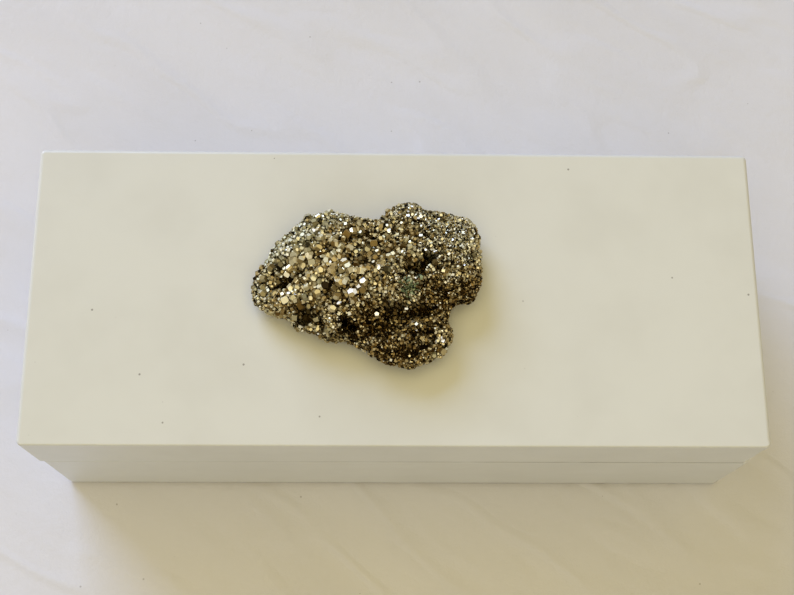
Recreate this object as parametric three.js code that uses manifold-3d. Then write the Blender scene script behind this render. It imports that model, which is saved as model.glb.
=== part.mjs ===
// A long lacquered box with a lift-off lid, and a natural pyrite cluster bedded on the lid.
// Millimetres, +Z up, +X along the box. The origin is on the table under the middle of the box.
import * as THREE from "three";
import { mergeVertices } from "three/addons/utils/BufferGeometryUtils.js";
import Module from "manifold-3d";

const wasm = await Module();
wasm.setup();

// ---- Driving dimensions ----
const LENGTH = 305; // outside of base and lid, along X
const WIDTH = 128.5; // outside of base and lid, along Y
const HEIGHT = 94; // table to the lid's top
const LID_HEIGHT = 36.65; // lid's lower edge to its top
const SEAM_GAP = 0.3; // dark line between the base's rim and the lid's lower edge
const CORNER_RADIUS = 1.4; // upright corners of base and lid

const BASE_WALL = 8;
const BOTTOM_PANEL = 6;
const LID_PANEL = 8;
const LID_PLAY = 2; // all round between the lid's rails and the neck, with the lid centred
const SIDE_STEP = 0.8; // the lid is this far left of the middle and the base as far right

const NECK_BOARD = 3; // thickness of the inner boards that locate the lid
const NECK_RISE = 8; // how far they stand above the base's rim

const FELT = 1; // sheet under the base
const FELT_INSET = 2.5; // from the base's outside
const LINING_CARD = 1.5;
const FLOOR_PAD = 4;
const LID_PAD = 3;
const LINING_CLEARANCE = 0.5; // card to the boards round it
const PAD_CLEARANCE = 0.8; // soft pad to the boards round it
const PAD_CORNER = 2;

const BED = 0.5; // resin between the lid and the mineral
const BED_LENGTH = 52; // of the oval that the resin covers
const BED_WIDTH = 26;
const BED_Y = -2; // its middle, from the mineral's
const BED_TURN = 7; // degrees about Z
const CLUSTER_X = -13; // the mineral's middle, from the lid's middle
const CLUSTER_Y = 0;
const CLUSTER_SCALE = 1; // whole mineral and its bed

// ---- Heights that follow ----
const baseLow = FELT;
const lidLow = HEIGHT - LID_HEIGHT;
const baseHigh = lidLow - SEAM_GAP;
const floorHigh = baseLow + BOTTOM_PANEL;
const panelLow = HEIGHT - LID_PANEL;
const neckHigh = baseHigh + NECK_RISE;
const lidRail = BASE_WALL - LID_PLAY;

// ---- Finishes ----
const finish = (color, roughness, metalness = 0) =>
  new THREE.MeshStandardMaterial({ color, roughness, metalness });
const lacquer = finish(0xe2dfd6, 0.35);
const neckVelvet = finish(0xb9b0a2, 0.95);
const card = finish(0x8f8574, 0.9);
const velvet = finish(0xc9c1b3, 0.95);
const felt = finish(0x6b655d, 1);
const resin = finish(0xd8cfae, 0.3);
const pyrite = finish(0x8f7d50, 0.35, 0.9);

// ---- Boards ----
// Stands a flat outline up between two heights.
function slab(name, shape, low, high, material) {
  const geometry = new THREE.ExtrudeGeometry(shape, {
    depth: high - low,
    bevelEnabled: false,
    curveSegments: 4,
  });
  geometry.translate(0, 0, low);
  const mesh = new THREE.Mesh(geometry, material);
  mesh.name = name;
  return mesh;
}

// A rectangle about the origin, with round corners if a radius is given.
function rectangle(length, width, radius = 0) {
  const x = length / 2;
  const y = width / 2;
  const shape = new THREE.Shape();
  if (radius === 0) {
    shape.moveTo(-x, -y).lineTo(x, -y).lineTo(x, y).lineTo(-x, y);
    return shape;
  }
  shape.moveTo(-x + radius, -y);
  shape.absarc(x - radius, -y + radius, radius, -Math.PI / 2, 0);
  shape.absarc(x - radius, y - radius, radius, 0, Math.PI / 2);
  shape.absarc(-x + radius, y - radius, radius, Math.PI / 2, Math.PI);
  shape.absarc(-x + radius, -y + radius, radius, Math.PI, 1.5 * Math.PI);
  return shape;
}

// Corner points of one mitred board that lies along +X on the frame's -Y side. Each end carries
// half of the frame's round corner and is cut at 45 degrees from there to the inner corner.
function boardOutline(length, width, thickness, radius) {
  const x = length / 2;
  const y = -width / 2;
  const halfCorner = (middleX, start) =>
    [0, 0.125, 0.25].map((turn) => {
      const angle = (start + turn) * Math.PI;
      return [middleX + radius * Math.cos(angle), y + radius + radius * Math.sin(angle)];
    });
  const outside =
    radius === 0
      ? [[-x, y], [x, y]]
      : [...halfCorner(-x + radius, 1.25), ...halfCorner(x - radius, 1.5)];
  return [...outside, [x - thickness, y + thickness], [-x + thickness, y + thickness]];
}

// Four mitred boards round a rectangle, named by the side they are on.
function mitredFrame({ names, length, width, thickness, radius = 0, low, high, material }) {
  const long = boardOutline(length, width, thickness, radius);
  const short = boardOutline(width, length, thickness, radius);
  const sides = {
    front: long,
    back: long.map(([x, y]) => [-x, -y]),
    left: short.map(([x, y]) => [y, -x]),
    right: short.map(([x, y]) => [-y, x]),
  };
  return Object.entries(sides).map(([side, points]) => {
    const shape = new THREE.Shape(points.map(([x, y]) => new THREE.Vector2(x, y)));
    return slab(names(side), shape, low, high, material);
  });
}

// ---- Base ----
const base = new THREE.Group();
base.position.x = SIDE_STEP;
const insideLength = LENGTH - 2 * BASE_WALL;
const insideWidth = WIDTH - 2 * BASE_WALL;
const neckInsideLength = insideLength - 2 * NECK_BOARD;
const neckInsideWidth = insideWidth - 2 * NECK_BOARD;

base.add(
  ...mitredFrame({
    names: (side) => `base_${side}_wall`,
    length: LENGTH,
    width: WIDTH,
    thickness: BASE_WALL,
    radius: CORNER_RADIUS,
    low: baseLow,
    high: baseHigh,
    material: lacquer,
  }),
  slab("base_bottom_panel", rectangle(insideLength, insideWidth), baseLow, floorHigh, lacquer),
  ...mitredFrame({
    names: (side) => `neck_${side}_board`,
    length: insideLength,
    width: insideWidth,
    thickness: NECK_BOARD,
    low: floorHigh,
    high: neckHigh,
    material: neckVelvet,
  }),
);

// A card that lies on a board, and a soft pad on the card, away from that board.
function lining({ cardName, padName, length, width, seat, away, pad }) {
  const cardFar = seat + away * LINING_CARD;
  const padFar = cardFar + away * pad;
  const cardShape = rectangle(length - 2 * LINING_CLEARANCE, width - 2 * LINING_CLEARANCE);
  const padShape = rectangle(length - 2 * PAD_CLEARANCE, width - 2 * PAD_CLEARANCE, PAD_CORNER);
  return [
    slab(cardName, cardShape, Math.min(seat, cardFar), Math.max(seat, cardFar), card),
    slab(padName, padShape, Math.min(cardFar, padFar), Math.max(cardFar, padFar), velvet),
  ];
}

base.add(
  ...lining({
    cardName: "floor_lining_card",
    padName: "floor_lining_pad",
    length: neckInsideLength,
    width: neckInsideWidth,
    seat: floorHigh,
    away: 1,
    pad: FLOOR_PAD,
  }),
  slab(
    "underside_felt",
    rectangle(LENGTH - 2 * FELT_INSET, WIDTH - 2 * FELT_INSET, CORNER_RADIUS),
    0,
    baseLow,
    felt,
  ),
);

// ---- Lid ----
const lid = new THREE.Group();
lid.position.x = -SIDE_STEP;
lid.add(
  slab("lid_top_panel", rectangle(LENGTH, WIDTH, CORNER_RADIUS), panelLow, HEIGHT, lacquer),
  ...mitredFrame({
    names: (side) => `lid_${side}_rail`,
    length: LENGTH,
    width: WIDTH,
    thickness: lidRail,
    radius: CORNER_RADIUS,
    low: lidLow,
    high: panelLow,
    material: lacquer,
  }),
  ...lining({
    cardName: "lid_lining_card",
    padName: "lid_lining_pad",
    length: LENGTH - 2 * lidRail,
    width: WIDTH - 2 * lidRail,
    seat: panelLow,
    away: -1,
    pad: LID_PAD,
  }),
);

// ---- Pyrite cluster ----
// One aggregate of crystals that grew together, given as a skin over a closed outline. Places are
// from the middle of its footprint on the lid.
const OUTLINE = [
  [-48, -3], [-47, 4], [-41, 11], [-38, 18], [-30, 25], [-24, 31], [-15, 33], [-8, 32],
  [0, 30], [7, 31], [13, 36], [19, 38], [24, 35], [33, 33], [43, 31], [48, 26],
  [49, 14], [49, 3], [46, -5], [37, -8], [35, -14], [37, -20], [34, -27], [27, -32],
  [18, -35], [9, -33], [1, -29], [-6, -24], [-16, -23], [-21, -19], [-29, -18], [-35, -12],
  [-43, -10],
];
const HEART = [2, 2]; // the whole outline is in straight sight from here
const PLATEAU = 16; // height above the bed before hills and hollows
// Hills and hollows of the top: height, centre x, y, half sizes x, y, turn about Z in degrees.
const RELIEF = [
  [9, 1, 0, 24, 11, 8], // crest
  [7, 31, 14, 15, 15, 0], // back right corner, nearly as high
  [3.5, -18, 15, 15, 11, 20], // back left shoulder
  [3, 18, 30, 7, 6, 0], // knob at the back
  [-6, -43, -2, 11, 14, 0], // low tip at the left end
  [-5, 13, -14, 20, 4.5, 14], // valley before the front lobe
  [-2, 24, -27, 14, 9, 0], // front lobe, low
  [-3, -33, 2, 10, 3, 25], // hollow near the tip
  [-3, 22, 7, 7, 4, 30], // hollow on the right of the crest
];
// The skin from the footprint in to the middle of the top: share of the way out, share of height.
const PROFILE = [
  [0.84, 0], [0.94, 0.14], [0.99, 0.32], [1, 0.52], [0.97, 0.72], [0.92, 0.87], [0.84, 0.96],
  [0.74, 1], [0.63, 1], [0.52, 1], [0.4, 1], [0.28, 1], [0.15, 1],
];
const ROUND = 72; // facets round the outline
const ROUGHNESS = 0.55; // how far the skin swells and sinks
// Clefts between grown-together masses: centre x, y, z, half sizes x, y, z, turn about Z in degrees.
const CLEFTS = [
  [-31, 1, 15, 8, 1.7, 5, 22],
  [0, 18, 22, 7, 2, 5, -4],
  [-4, 8, 23, 6, 1.8, 4, -28],
  [23, 6.5, 21, 6.5, 2, 5, 30],
  [10, -13, 17, 8, 2, 5, 14],
  [24, -11, 15, 6, 2, 5, 5],
  [-7, -17, 12, 5, 1.8, 5, -30],
  [-24, -14, 14, 2, 4, 5, 10],
];
const CLEFT_DETAIL = 2; // how finely a cleft's surface is divided

// Height of the top above the bed at a place.
function relief(x, y) {
  let height = PLATEAU;
  for (const [rise, hillX, hillY, halfX, halfY, turn] of RELIEF) {
    const angle = THREE.MathUtils.degToRad(turn);
    const along = (x - hillX) * Math.cos(angle) + (y - hillY) * Math.sin(angle);
    const across = (y - hillY) * Math.cos(angle) - (x - hillX) * Math.sin(angle);
    height += rise * Math.exp(-((along / halfX) ** 2) - (across / halfY) ** 2);
  }
  return height;
}

// A smooth wave in space, between about -1 and 1, that roughens the skin.
const wave = (x, y, z) =>
  0.5 * Math.sin(0.55 * x + 0.31 * y + 0.4 * z) * Math.cos(0.47 * y - 0.22 * x) +
  0.5 * Math.sin(0.83 * y - 0.35 * z + 1.3) * Math.cos(0.71 * x + 0.52 * z);

// The skin as rings of points, closed by a point in the middle of the top and of the footprint.
function skin() {
  const points = OUTLINE.map(([x, y]) => new THREE.Vector3(x, y, 0)).reverse();
  const rim = new THREE.CatmullRomCurve3(points, true).getSpacedPoints(ROUND).slice(0, ROUND);
  const [heartX, heartY] = HEART;
  const place = [heartX, heartY, 0];
  for (const [out, up] of PROFILE) {
    for (const point of rim) {
      const x = heartX + out * (point.x - heartX);
      const y = heartY + out * (point.y - heartY);
      const z = up * relief(x, y);
      const swell = up === 0 ? 0 : ROUGHNESS * wave(x, y, z);
      const reach = Math.hypot(x - heartX, y - heartY);
      const side = (swell * (1 - up)) / reach;
      place.push(x + side * (x - heartX), y + side * (y - heartY), z + swell * up);
    }
  }
  place.push(heartX, heartY, relief(heartX, heartY));

  const ring = (level, i) => 1 + level * ROUND + (i % ROUND);
  const top = 1 + PROFILE.length * ROUND;
  const index = [];
  for (let i = 0; i < ROUND; i++) {
    index.push(0, ring(0, i + 1), ring(0, i));
    for (let level = 0; level < PROFILE.length - 1; level++) {
      index.push(ring(level, i), ring(level, i + 1), ring(level + 1, i + 1));
      index.push(ring(level, i), ring(level + 1, i + 1), ring(level + 1, i));
    }
    index.push(ring(PROFILE.length - 1, i), ring(PROFILE.length - 1, i + 1), top);
  }
  const geometry = new THREE.BufferGeometry();
  geometry.setAttribute("position", new THREE.Float32BufferAttribute(place, 3));
  geometry.setIndex(index);
  return geometry;
}

// The ellipsoid that a cleft is cut with.
function cleftCutter([x, y, z, halfX, halfY, halfZ, turn]) {
  const geometry = new THREE.IcosahedronGeometry(1, CLEFT_DETAIL);
  geometry.deleteAttribute("normal");
  geometry.deleteAttribute("uv");
  const merged = mergeVertices(geometry);
  merged.scale(halfX, halfY, halfZ);
  merged.rotateZ(THREE.MathUtils.degToRad(turn));
  merged.translate(x, y, z);
  return merged;
}

const solid = (geometry) =>
  new wasm.Manifold(
    new wasm.Mesh({
      numProp: 3,
      vertProperties: geometry.getAttribute("position").array,
      triVerts: new Uint32Array(geometry.index.array),
    }),
  );

function meshOf(name, manifold, material) {
  const { vertProperties, triVerts } = manifold.getMesh();
  const geometry = new THREE.BufferGeometry();
  geometry.setAttribute("position", new THREE.BufferAttribute(vertProperties, 3));
  geometry.setIndex(new THREE.BufferAttribute(triVerts, 1));
  geometry.computeVertexNormals();
  const mesh = new THREE.Mesh(geometry, material);
  mesh.name = name;
  return mesh;
}

let aggregate = solid(skin());
for (const cleft of CLEFTS) aggregate = aggregate.subtract(solid(cleftCutter(cleft)));

// The mineral is bedded in clear resin that stays inside its footprint.
const bedShape = new THREE.Shape();
const bedTurn = THREE.MathUtils.degToRad(BED_TURN);
bedShape.absellipse(0, BED_Y, BED_LENGTH / 2, BED_WIDTH / 2, 0, 2 * Math.PI, false, bedTurn);

const mineral = new THREE.Group();
mineral.position.set(CLUSTER_X, CLUSTER_Y, HEIGHT);
mineral.scale.set(CLUSTER_SCALE, CLUSTER_SCALE, CLUSTER_SCALE);
const cluster = meshOf("pyrite_cluster", aggregate, pyrite);
cluster.position.z = BED;
mineral.add(slab("adhesive_bed", bedShape, 0, BED, resin), cluster);
lid.add(mineral);

const box = new THREE.Group();
box.add(base, lid);
export default box;
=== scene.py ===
"""Looks of a white lacquered keepsake box with a pyrite cluster bedded on its lift-off lid.

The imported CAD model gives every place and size. This file builds the mitred boards, the padded
velvet linings, the felt and the crystals round those places, dresses each piece, and lights them.
"""

import logging
import math
from dataclasses import dataclass
from enum import Enum
from itertools import combinations, product
from typing import Any, Sequence

import bmesh
import bpy
import numpy as np
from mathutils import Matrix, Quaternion, Vector, kdtree, noise


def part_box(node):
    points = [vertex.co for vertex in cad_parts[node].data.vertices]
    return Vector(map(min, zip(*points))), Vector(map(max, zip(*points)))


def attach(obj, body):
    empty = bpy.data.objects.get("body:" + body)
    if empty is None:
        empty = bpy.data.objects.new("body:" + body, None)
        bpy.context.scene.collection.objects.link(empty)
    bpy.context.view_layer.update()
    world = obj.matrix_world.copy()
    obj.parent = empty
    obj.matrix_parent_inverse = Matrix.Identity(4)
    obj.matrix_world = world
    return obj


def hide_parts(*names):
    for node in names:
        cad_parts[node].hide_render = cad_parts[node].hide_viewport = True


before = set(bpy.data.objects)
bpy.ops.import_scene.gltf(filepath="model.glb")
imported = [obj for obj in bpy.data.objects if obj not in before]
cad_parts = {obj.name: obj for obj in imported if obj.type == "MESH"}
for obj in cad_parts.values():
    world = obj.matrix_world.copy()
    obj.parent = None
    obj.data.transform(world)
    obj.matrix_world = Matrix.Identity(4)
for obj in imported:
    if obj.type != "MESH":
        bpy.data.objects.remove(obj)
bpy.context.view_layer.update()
MM = 0.001
BAKE_MAP = "OFBake"
log = logging.getLogger("keepsake_box")

Colour = tuple[float, float, float]
Stops = Sequence[tuple[float, Colour]]


class Half(Enum):
    """The two halves of the box, which move against each other."""

    BASE = "base"
    LID = "lid"


class Slot(Enum):
    """The material slots of the pieces."""

    LACQUER = "lacquer"
    NECK_VELVET = "neck_velvet"
    CARD = "card"
    VELVET = "velvet"
    FELT = "felt"
    RESIN = "resin"
    PYRITE = "pyrite"


class Side(Enum):
    """The side of a frame that a board stands on, in order round it from the front."""

    FRONT = 0
    RIGHT = 1
    BACK = 2
    LEFT = 3


# ---------------------------------------------------------------------------------------------
# Shader expressions
# ---------------------------------------------------------------------------------------------


class Channel:
    """An output socket that takes part in an expression, as a number would."""

    def __init__(self, tree: "ShaderTree", source: bpy.types.NodeSocket) -> None:
        """Keeps the tree that the socket belongs to, and the socket."""
        self.tree = tree
        self.source = source

    def _maths(self, operation: str, first: Any, second: Any = None) -> "Channel":
        """Adds one Math node.

        Args:
            operation: The node's operation.
            first: A channel or a number.
            second: A channel or a number, for an operation on two values.

        Returns:
            The node's output.
        """
        values = {0: first} if second is None else {0: first, 1: second}
        return self.tree.node("ShaderNodeMath", {"operation": operation}, values)

    def __add__(self, other: Any) -> "Channel":
        """Self plus other."""
        return self._maths("ADD", self, other)

    def __radd__(self, other: Any) -> "Channel":
        """Other plus self."""
        return self._maths("ADD", other, self)

    def __sub__(self, other: Any) -> "Channel":
        """Self less other."""
        return self._maths("SUBTRACT", self, other)

    def __rsub__(self, other: Any) -> "Channel":
        """Other less self."""
        return self._maths("SUBTRACT", other, self)

    def __mul__(self, other: Any) -> "Channel":
        """Self times other."""
        return self._maths("MULTIPLY", self, other)

    def __rmul__(self, other: Any) -> "Channel":
        """Other times self."""
        return self._maths("MULTIPLY", other, self)

    def __abs__(self) -> "Channel":
        """Self without its sign."""
        return self._maths("ABSOLUTE", self)

    def least(self, other: Any) -> "Channel":
        """The smaller of self and other."""
        return self._maths("MINIMUM", self, other)

    def most(self, other: Any) -> "Channel":
        """The larger of self and other."""
        return self._maths("MAXIMUM", self, other)

    def between(self, low: float, high: float) -> "Channel":
        """A mask that rises smoothly from 0 at low to 1 at high.

        Args:
            low: Where the mask is 0. It may be the larger number, and the mask then falls.
            high: Where the mask is 1.

        Returns:
            The mask.
        """
        start, end = min(low, high), max(low, high)
        bounds = {"Value": self, "From Min": start, "From Max": end}
        risen = self.tree.node("ShaderNodeMapRange", {"interpolation_type": "SMOOTHSTEP"}, bounds)
        return risen if low <= high else 1 - risen

    def also(self, output: str) -> "Channel":
        """Another output of the node that this channel comes from."""
        return Channel(self.tree, self.source.node.outputs[output])


class ShaderTree:
    """The node tree of one finish, lamp or world, with one method that makes every node."""

    def __init__(self, owner: bpy.types.Material | bpy.types.World) -> None:
        """Empties the owner's tree, ready for new nodes."""
        owner.use_nodes = True
        self.nodes = owner.node_tree.nodes
        self.links = owner.node_tree.links
        self.nodes.clear()

    def node(
        self,
        kind: str,
        settings: dict[str, Any] | None = None,
        values: dict[str | int, Any] | None = None,
        output: str | int = 0,
    ) -> Channel:
        """Makes a node.

        Args:
            kind: The node's type.
            settings: Its own properties, and "stops" for a colour ramp, which are set first.
            values: A number, a colour or a channel for each socket, by name or by place.
            output: The output to give back.

        Returns:
            That output.
        """
        made = self.nodes.new(kind)
        for name, value in (settings or {}).items():
            if name == "stops":
                self._set_stops(made.color_ramp, value)
            else:
                setattr(made, name, value)
        for key, value in (values or {}).items():
            self._feed(made.inputs[key], value)
        outputs = made.outputs
        return Channel(self, outputs[output]) if len(outputs) else Channel(self, None)

    def _set_stops(self, ramp: bpy.types.ColorRamp, stops: Stops) -> None:
        """Gives a colour ramp its stops.

        Args:
            ramp: The ramp.
            stops: For each stop its place from 0 to 1 and its colour.
        """
        while len(ramp.elements) < len(stops):
            ramp.elements.new(1.0)
        for element, (place, colour) in zip(ramp.elements, stops):
            element.position = place
            element.color = (*colour, 1.0)

    def _feed(self, socket: bpy.types.NodeSocket, value: Any) -> None:
        """Links a channel to a socket, or sets the socket to a number or a colour.

        Args:
            socket: The input to feed.
            value: A channel, a number, or a colour with or without its alpha.
        """
        if isinstance(value, Channel):
            self.links.new(value.source, socket)
        elif isinstance(value, (tuple, list)) and socket.type == "RGBA":
            socket.default_value = (*value, 1.0) if len(value) == 3 else tuple(value)
        else:
            socket.default_value = value

    def place(self) -> Channel:
        """The point's place on the piece, in metres."""
        return self.node("ShaderNodeTexCoord", output="Object")

    def stretched(self, scale: tuple[float, float, float], at: Channel | None = None) -> Channel:
        """Places scaled along each axis, from the point's own place if no other is given."""
        return self.node("ShaderNodeMapping", values={"Vector": at or self.place(), "Scale": scale})

    def specks(self, at: Channel, scale: float, sizes: tuple[float, float], soft: float) -> Channel:
        """A mask of sparse round specks over a flat face.

        Args:
            at: Where to read it.
            scale: How many cells to a metre, each with a speck or none.
            sizes: How small a share of the cells has specks, from 0 to 1, and how large they are.
            soft: How soft their rims are.

        Returns:
            The mask.
        """
        rarity, largest = sizes
        flat = {"voronoi_dimensions": "2D"}
        cell = self.node("ShaderNodeTexVoronoi", flat, {"Vector": at, "Scale": scale}, "Distance")
        draw = self.node("ShaderNodeSeparateColor", values={0: cell.also("Color")}, output="Red")
        return (draw.between(rarity, 1.0) * largest - cell.also("Distance")).between(0.0, soft)

    def grains(self, size: float, detail: float = 2.0, rough: float = 0.5, at: Any = None) -> Channel:
        """A soft random value from 0 to 1.

        Args:
            size: How far apart its lumps lie, in metres.
            detail: How many finer layers it has.
            rough: How strong those are.
            at: Where to read it, if not at the point's own place.

        Returns:
            The value.
        """
        values = {"Vector": at or self.place(), "Scale": 1 / size, "Detail": detail, "Roughness": rough}
        return self.node("ShaderNodeTexNoise", values=values, output=0)

    def blend(self, mask: Any, first: Any, second: Any) -> Channel:
        """A colour that goes from first to second as the mask rises."""
        values = {0: mask, 6: first, 7: second}
        return self.node("ShaderNodeMix", {"data_type": "RGBA"}, values, output=2)

    def relief(self, height: Channel, depth: float, over: Channel | None = None) -> Channel:
        """A normal tilted by a height.

        Args:
            height: The height, from 0 to 1.
            depth: What 1 stands for, in metres.
            over: A coarser relief under this one.

        Returns:
            The normal.
        """
        values = {"Strength": 1.0, "Distance": depth, "Height": height}
        if over is not None:
            values["Normal"] = over
        return self.node("ShaderNodeBump", values=values)

    def surface(self, values: dict[str, Any]) -> None:
        """Ends the tree in one Principled shader with these values."""
        shader = self.node("ShaderNodeBsdfPrincipled", values=values)
        self.node("ShaderNodeOutputMaterial", values={"Surface": shader})


def new_finish(name: str) -> tuple[bpy.types.Material, ShaderTree]:
    """A material of that name, and its empty tree."""
    material = bpy.data.materials.new(name)
    return material, ShaderTree(material)


# ---------------------------------------------------------------------------------------------
# Finishes
# ---------------------------------------------------------------------------------------------


@dataclass(frozen=True)
class WhiteLacquer:
    """Satin white lacquer, sprayed over sanded board.

    Attributes:
        name: The material's name.
        low: Lowest corner of the half that it covers, in metres.
        high: Highest corner of that half.
        white: The lacquer's colour.
        cloud: Its colour where the film is a little thinner.
        primer: What shows faintly along a rubbed edge.
        dust: The colour of the specks that lie on top.
        edge_shade: The colour of the painted shade along the lower edge: the seam's shadow on the lid,
            the floor contact's shadow on the base.
        edge_shade_ends: How strong that painted shade is at the left end and at the right end, from 0
            to 1.
    """

    name: str
    low: Vector
    high: Vector
    white: Colour = (0.690, 0.678, 0.594)
    cloud: Colour = (0.658, 0.644, 0.560)
    primer: Colour = (0.560, 0.530, 0.470)
    dust: Colour = (0.20, 0.17, 0.13)
    edge_shade: Colour = (0.24, 0.20, 0.15)
    edge_shade_ends: tuple[float, float] = (0.0, 1.0)

    def _from_edge(self, tree: ShaderTree) -> Channel:
        """Measures how near the point is to an edge of the half.

        Args:
            tree: The lacquer's tree.

        Returns:
            The distance to the nearest edge, in metres.
        """
        middle = (self.low + self.high) / 2
        reach = (self.high - self.low) / 2
        x = tree.node("ShaderNodeSeparateXYZ", values={0: tree.place()}, output="X")
        gaps = []
        for axis, name in enumerate("XYZ"):
            gaps.append(reach[axis] - abs(x.also(name) - middle[axis]))
        a, b, c = gaps
        return a.least(b).most(a.most(b).least(c))

    def _dust(self, tree: ShaderTree) -> Channel:
        """Strews dust over the upward face.

        Args:
            tree: The lacquer's tree.

        Returns:
            A mask of sparse specks.
        """
        at = tree.place()
        upward = tree.node("ShaderNodeSeparateXYZ", values={0: at}, output="Z")
        speck = tree.specks(at, 95.0, (0.90, 0.050), 0.016)
        return speck * upward.between(self.high.z - 0.3 * MM, self.high.z - 0.1 * MM)

    def _painted_edge_shade(self, tree: ShaderTree) -> Channel:
        """Paints shade along the lower edge: the seam's shadow on the lid, the floor contact's shadow
        on the base.

        Args:
            tree: The lacquer's tree.

        Returns:
            A mask of the painted shade.
        """
        parts = tree.node("ShaderNodeSeparateXYZ", values={0: tree.place()}, output="Z")
        near = parts.between(self.low.z + 1.9 * MM, self.low.z + 0.9 * MM)
        start, end = self.edge_shade_ends
        along = parts.also("X").between(self.low.x, self.high.x)
        return near * (start + along * (end - start)) * tree.grains(0.012, 2.0, 0.6).between(0.1, 0.6)

    def material(self) -> bpy.types.Material:
        """Mixes a lacquer with a faint orange peel, clouds, rubbed edges, painted edge shade and dust
        specks.

        Returns:
            The lacquer.
        """
        material, tree = new_finish(self.name)
        clouds = tree.grains(0.045, 3.0, 0.6)
        film = tree.blend(clouds.between(0.35, 0.7), self.white, self.cloud)
        patchy = tree.grains(0.009, 3.0, 0.65).between(0.46, 0.66)
        rubbed = self._from_edge(tree).between(0.9 * MM, 0.1 * MM) * patchy * 0.12
        dust = self._dust(tree)
        # A patchy dark band of painted shade along the lower edge: the seam's shadow on the lid, the
        # floor contact's shadow on the base.
        edge_shaded = tree.blend(self._painted_edge_shade(tree), tree.blend(rubbed, film, self.primer), self.edge_shade)
        colour = tree.blend(dust * 0.75, edge_shaded, self.dust)
        peel = tree.grains(1.6 * MM, 1.0, 0.4)
        waves = tree.grains(14 * MM, 3.0, 0.6)
        normal = tree.relief(peel, 0.010 * MM, tree.relief(waves, 0.16 * MM))
        gloss = 0.38 + (clouds - 0.5) * 0.10 + rubbed * 0.4 + dust * 0.4
        tree.surface({"Base Color": colour, "Roughness": gloss, "Normal": normal, "IOR": 1.48})
        return material


@dataclass(frozen=True)
class CutVelvet:
    """Short cut velvet, with patches where the pile leans another way.

    Attributes:
        name: The material's name.
        pile: The colour of upright pile.
        leaning: Its colour where the pile lies over.
        crush: How far apart those patches lie, in metres.
    """

    name: str
    pile: Colour = (0.60, 0.54, 0.45)
    leaning: Colour = (0.70, 0.65, 0.56)
    crush: float = 0.022

    def material(self) -> bpy.types.Material:
        """Mixes a velvet with its pile in the relief and a sheen along its folds.

        Returns:
            The velvet.
        """
        material, tree = new_finish(self.name)
        stretch = tree.stretched((0.6, 1.0, 1.0))
        crushed = tree.grains(self.crush, 3.0, 0.6, stretch).between(0.42, 0.6)
        tufts = tree.grains(0.55 * MM, 3.0, 0.7)
        speckled = tree.blend(tufts.between(0.35, 0.65), self.pile, self.leaning)
        colour = tree.blend(crushed * 0.6, speckled, self.leaning)
        normal = tree.relief(tufts, 0.12 * MM, tree.relief(crushed, 0.10 * MM))
        values = {"Base Color": colour, "Roughness": 0.9, "Normal": normal}
        values |= {"Sheen Weight": 0.45, "Sheen Roughness": 0.35, "Sheen Tint": (0.95, 0.92, 0.86)}
        tree.surface(values)
        return material


@dataclass(frozen=True)
class WoolFelt:
    """Pressed wool felt with loose fibres.

    Attributes:
        name: The material's name.
        wool: The felt's colour.
        fibre: The colour of its paler fibres.
    """

    name: str
    wool: Colour = (0.215, 0.195, 0.175)
    fibre: Colour = (0.36, 0.33, 0.30)

    def material(self) -> bpy.types.Material:
        """Mixes a felt with fibres that run all ways.

        Returns:
            The felt.
        """
        material, tree = new_finish(self.name)
        one = tree.grains(0.5 * MM, 4.0, 0.7, tree.stretched((0.25, 1.0, 1.0)))
        other = tree.grains(0.5 * MM, 4.0, 0.7, tree.stretched((1.0, 0.25, 1.0)))
        fibres = one.most(other)
        worn = tree.grains(0.03, 2.0).between(0.4, 0.7) * 0.25
        colour = tree.blend(fibres.between(0.52, 0.74) * 0.7 + worn, self.wool, self.fibre)
        normal = tree.relief(fibres, 0.18 * MM)
        tree.surface({"Base Color": colour, "Roughness": 0.95, "Normal": normal, "Sheen Weight": 0.2})
        return material


@dataclass(frozen=True)
class GreyCard:
    """Stiff grey board with flecks of pulp.

    Attributes:
        name: The material's name.
        pulp: The board's colour.
        fleck: The colour of its flecks.
    """

    name: str
    pulp: Colour = (0.42, 0.38, 0.32)
    fleck: Colour = (0.26, 0.22, 0.17)

    def material(self) -> bpy.types.Material:
        """Mixes a card, flecked and slightly furred.

        Returns:
            The card.
        """
        material, tree = new_finish(self.name)
        flecks = tree.grains(1.1 * MM, 4.0, 0.75).between(0.6, 0.72) * 0.7
        tone = tree.grains(0.02, 2.0).between(0.3, 0.8) * 0.3
        colour = tree.blend(flecks + tone, self.pulp, self.fleck)
        normal = tree.relief(tree.grains(0.3 * MM, 3.0), 0.04 * MM)
        tree.surface({"Base Color": colour, "Roughness": 0.88, "Normal": normal})
        return material


@dataclass(frozen=True)
class ClearResin:
    """Pale cast resin, which has set a little cloudy.

    Attributes:
        name: The material's name.
        clear: Its colour.
        cloudy: Its colour round trapped air.
    """

    name: str
    clear: Colour = (0.78, 0.73, 0.58)
    cloudy: Colour = (0.86, 0.84, 0.76)

    def material(self) -> bpy.types.Material:
        """Mixes a resin, glossy and partly see-through.

        Returns:
            The resin.
        """
        material, tree = new_finish(self.name)
        haze = tree.grains(2.5 * MM, 3.0, 0.6).between(0.5, 0.75)
        colour = tree.blend(haze, self.clear, self.cloudy)
        normal = tree.relief(tree.grains(4 * MM, 1.0), 0.10 * MM)
        values = {"Base Color": colour, "Roughness": 0.08 + haze * 0.15, "Normal": normal}
        tree.surface(values | {"Transmission Weight": 0.5, "IOR": 1.52})
        return material


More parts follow.
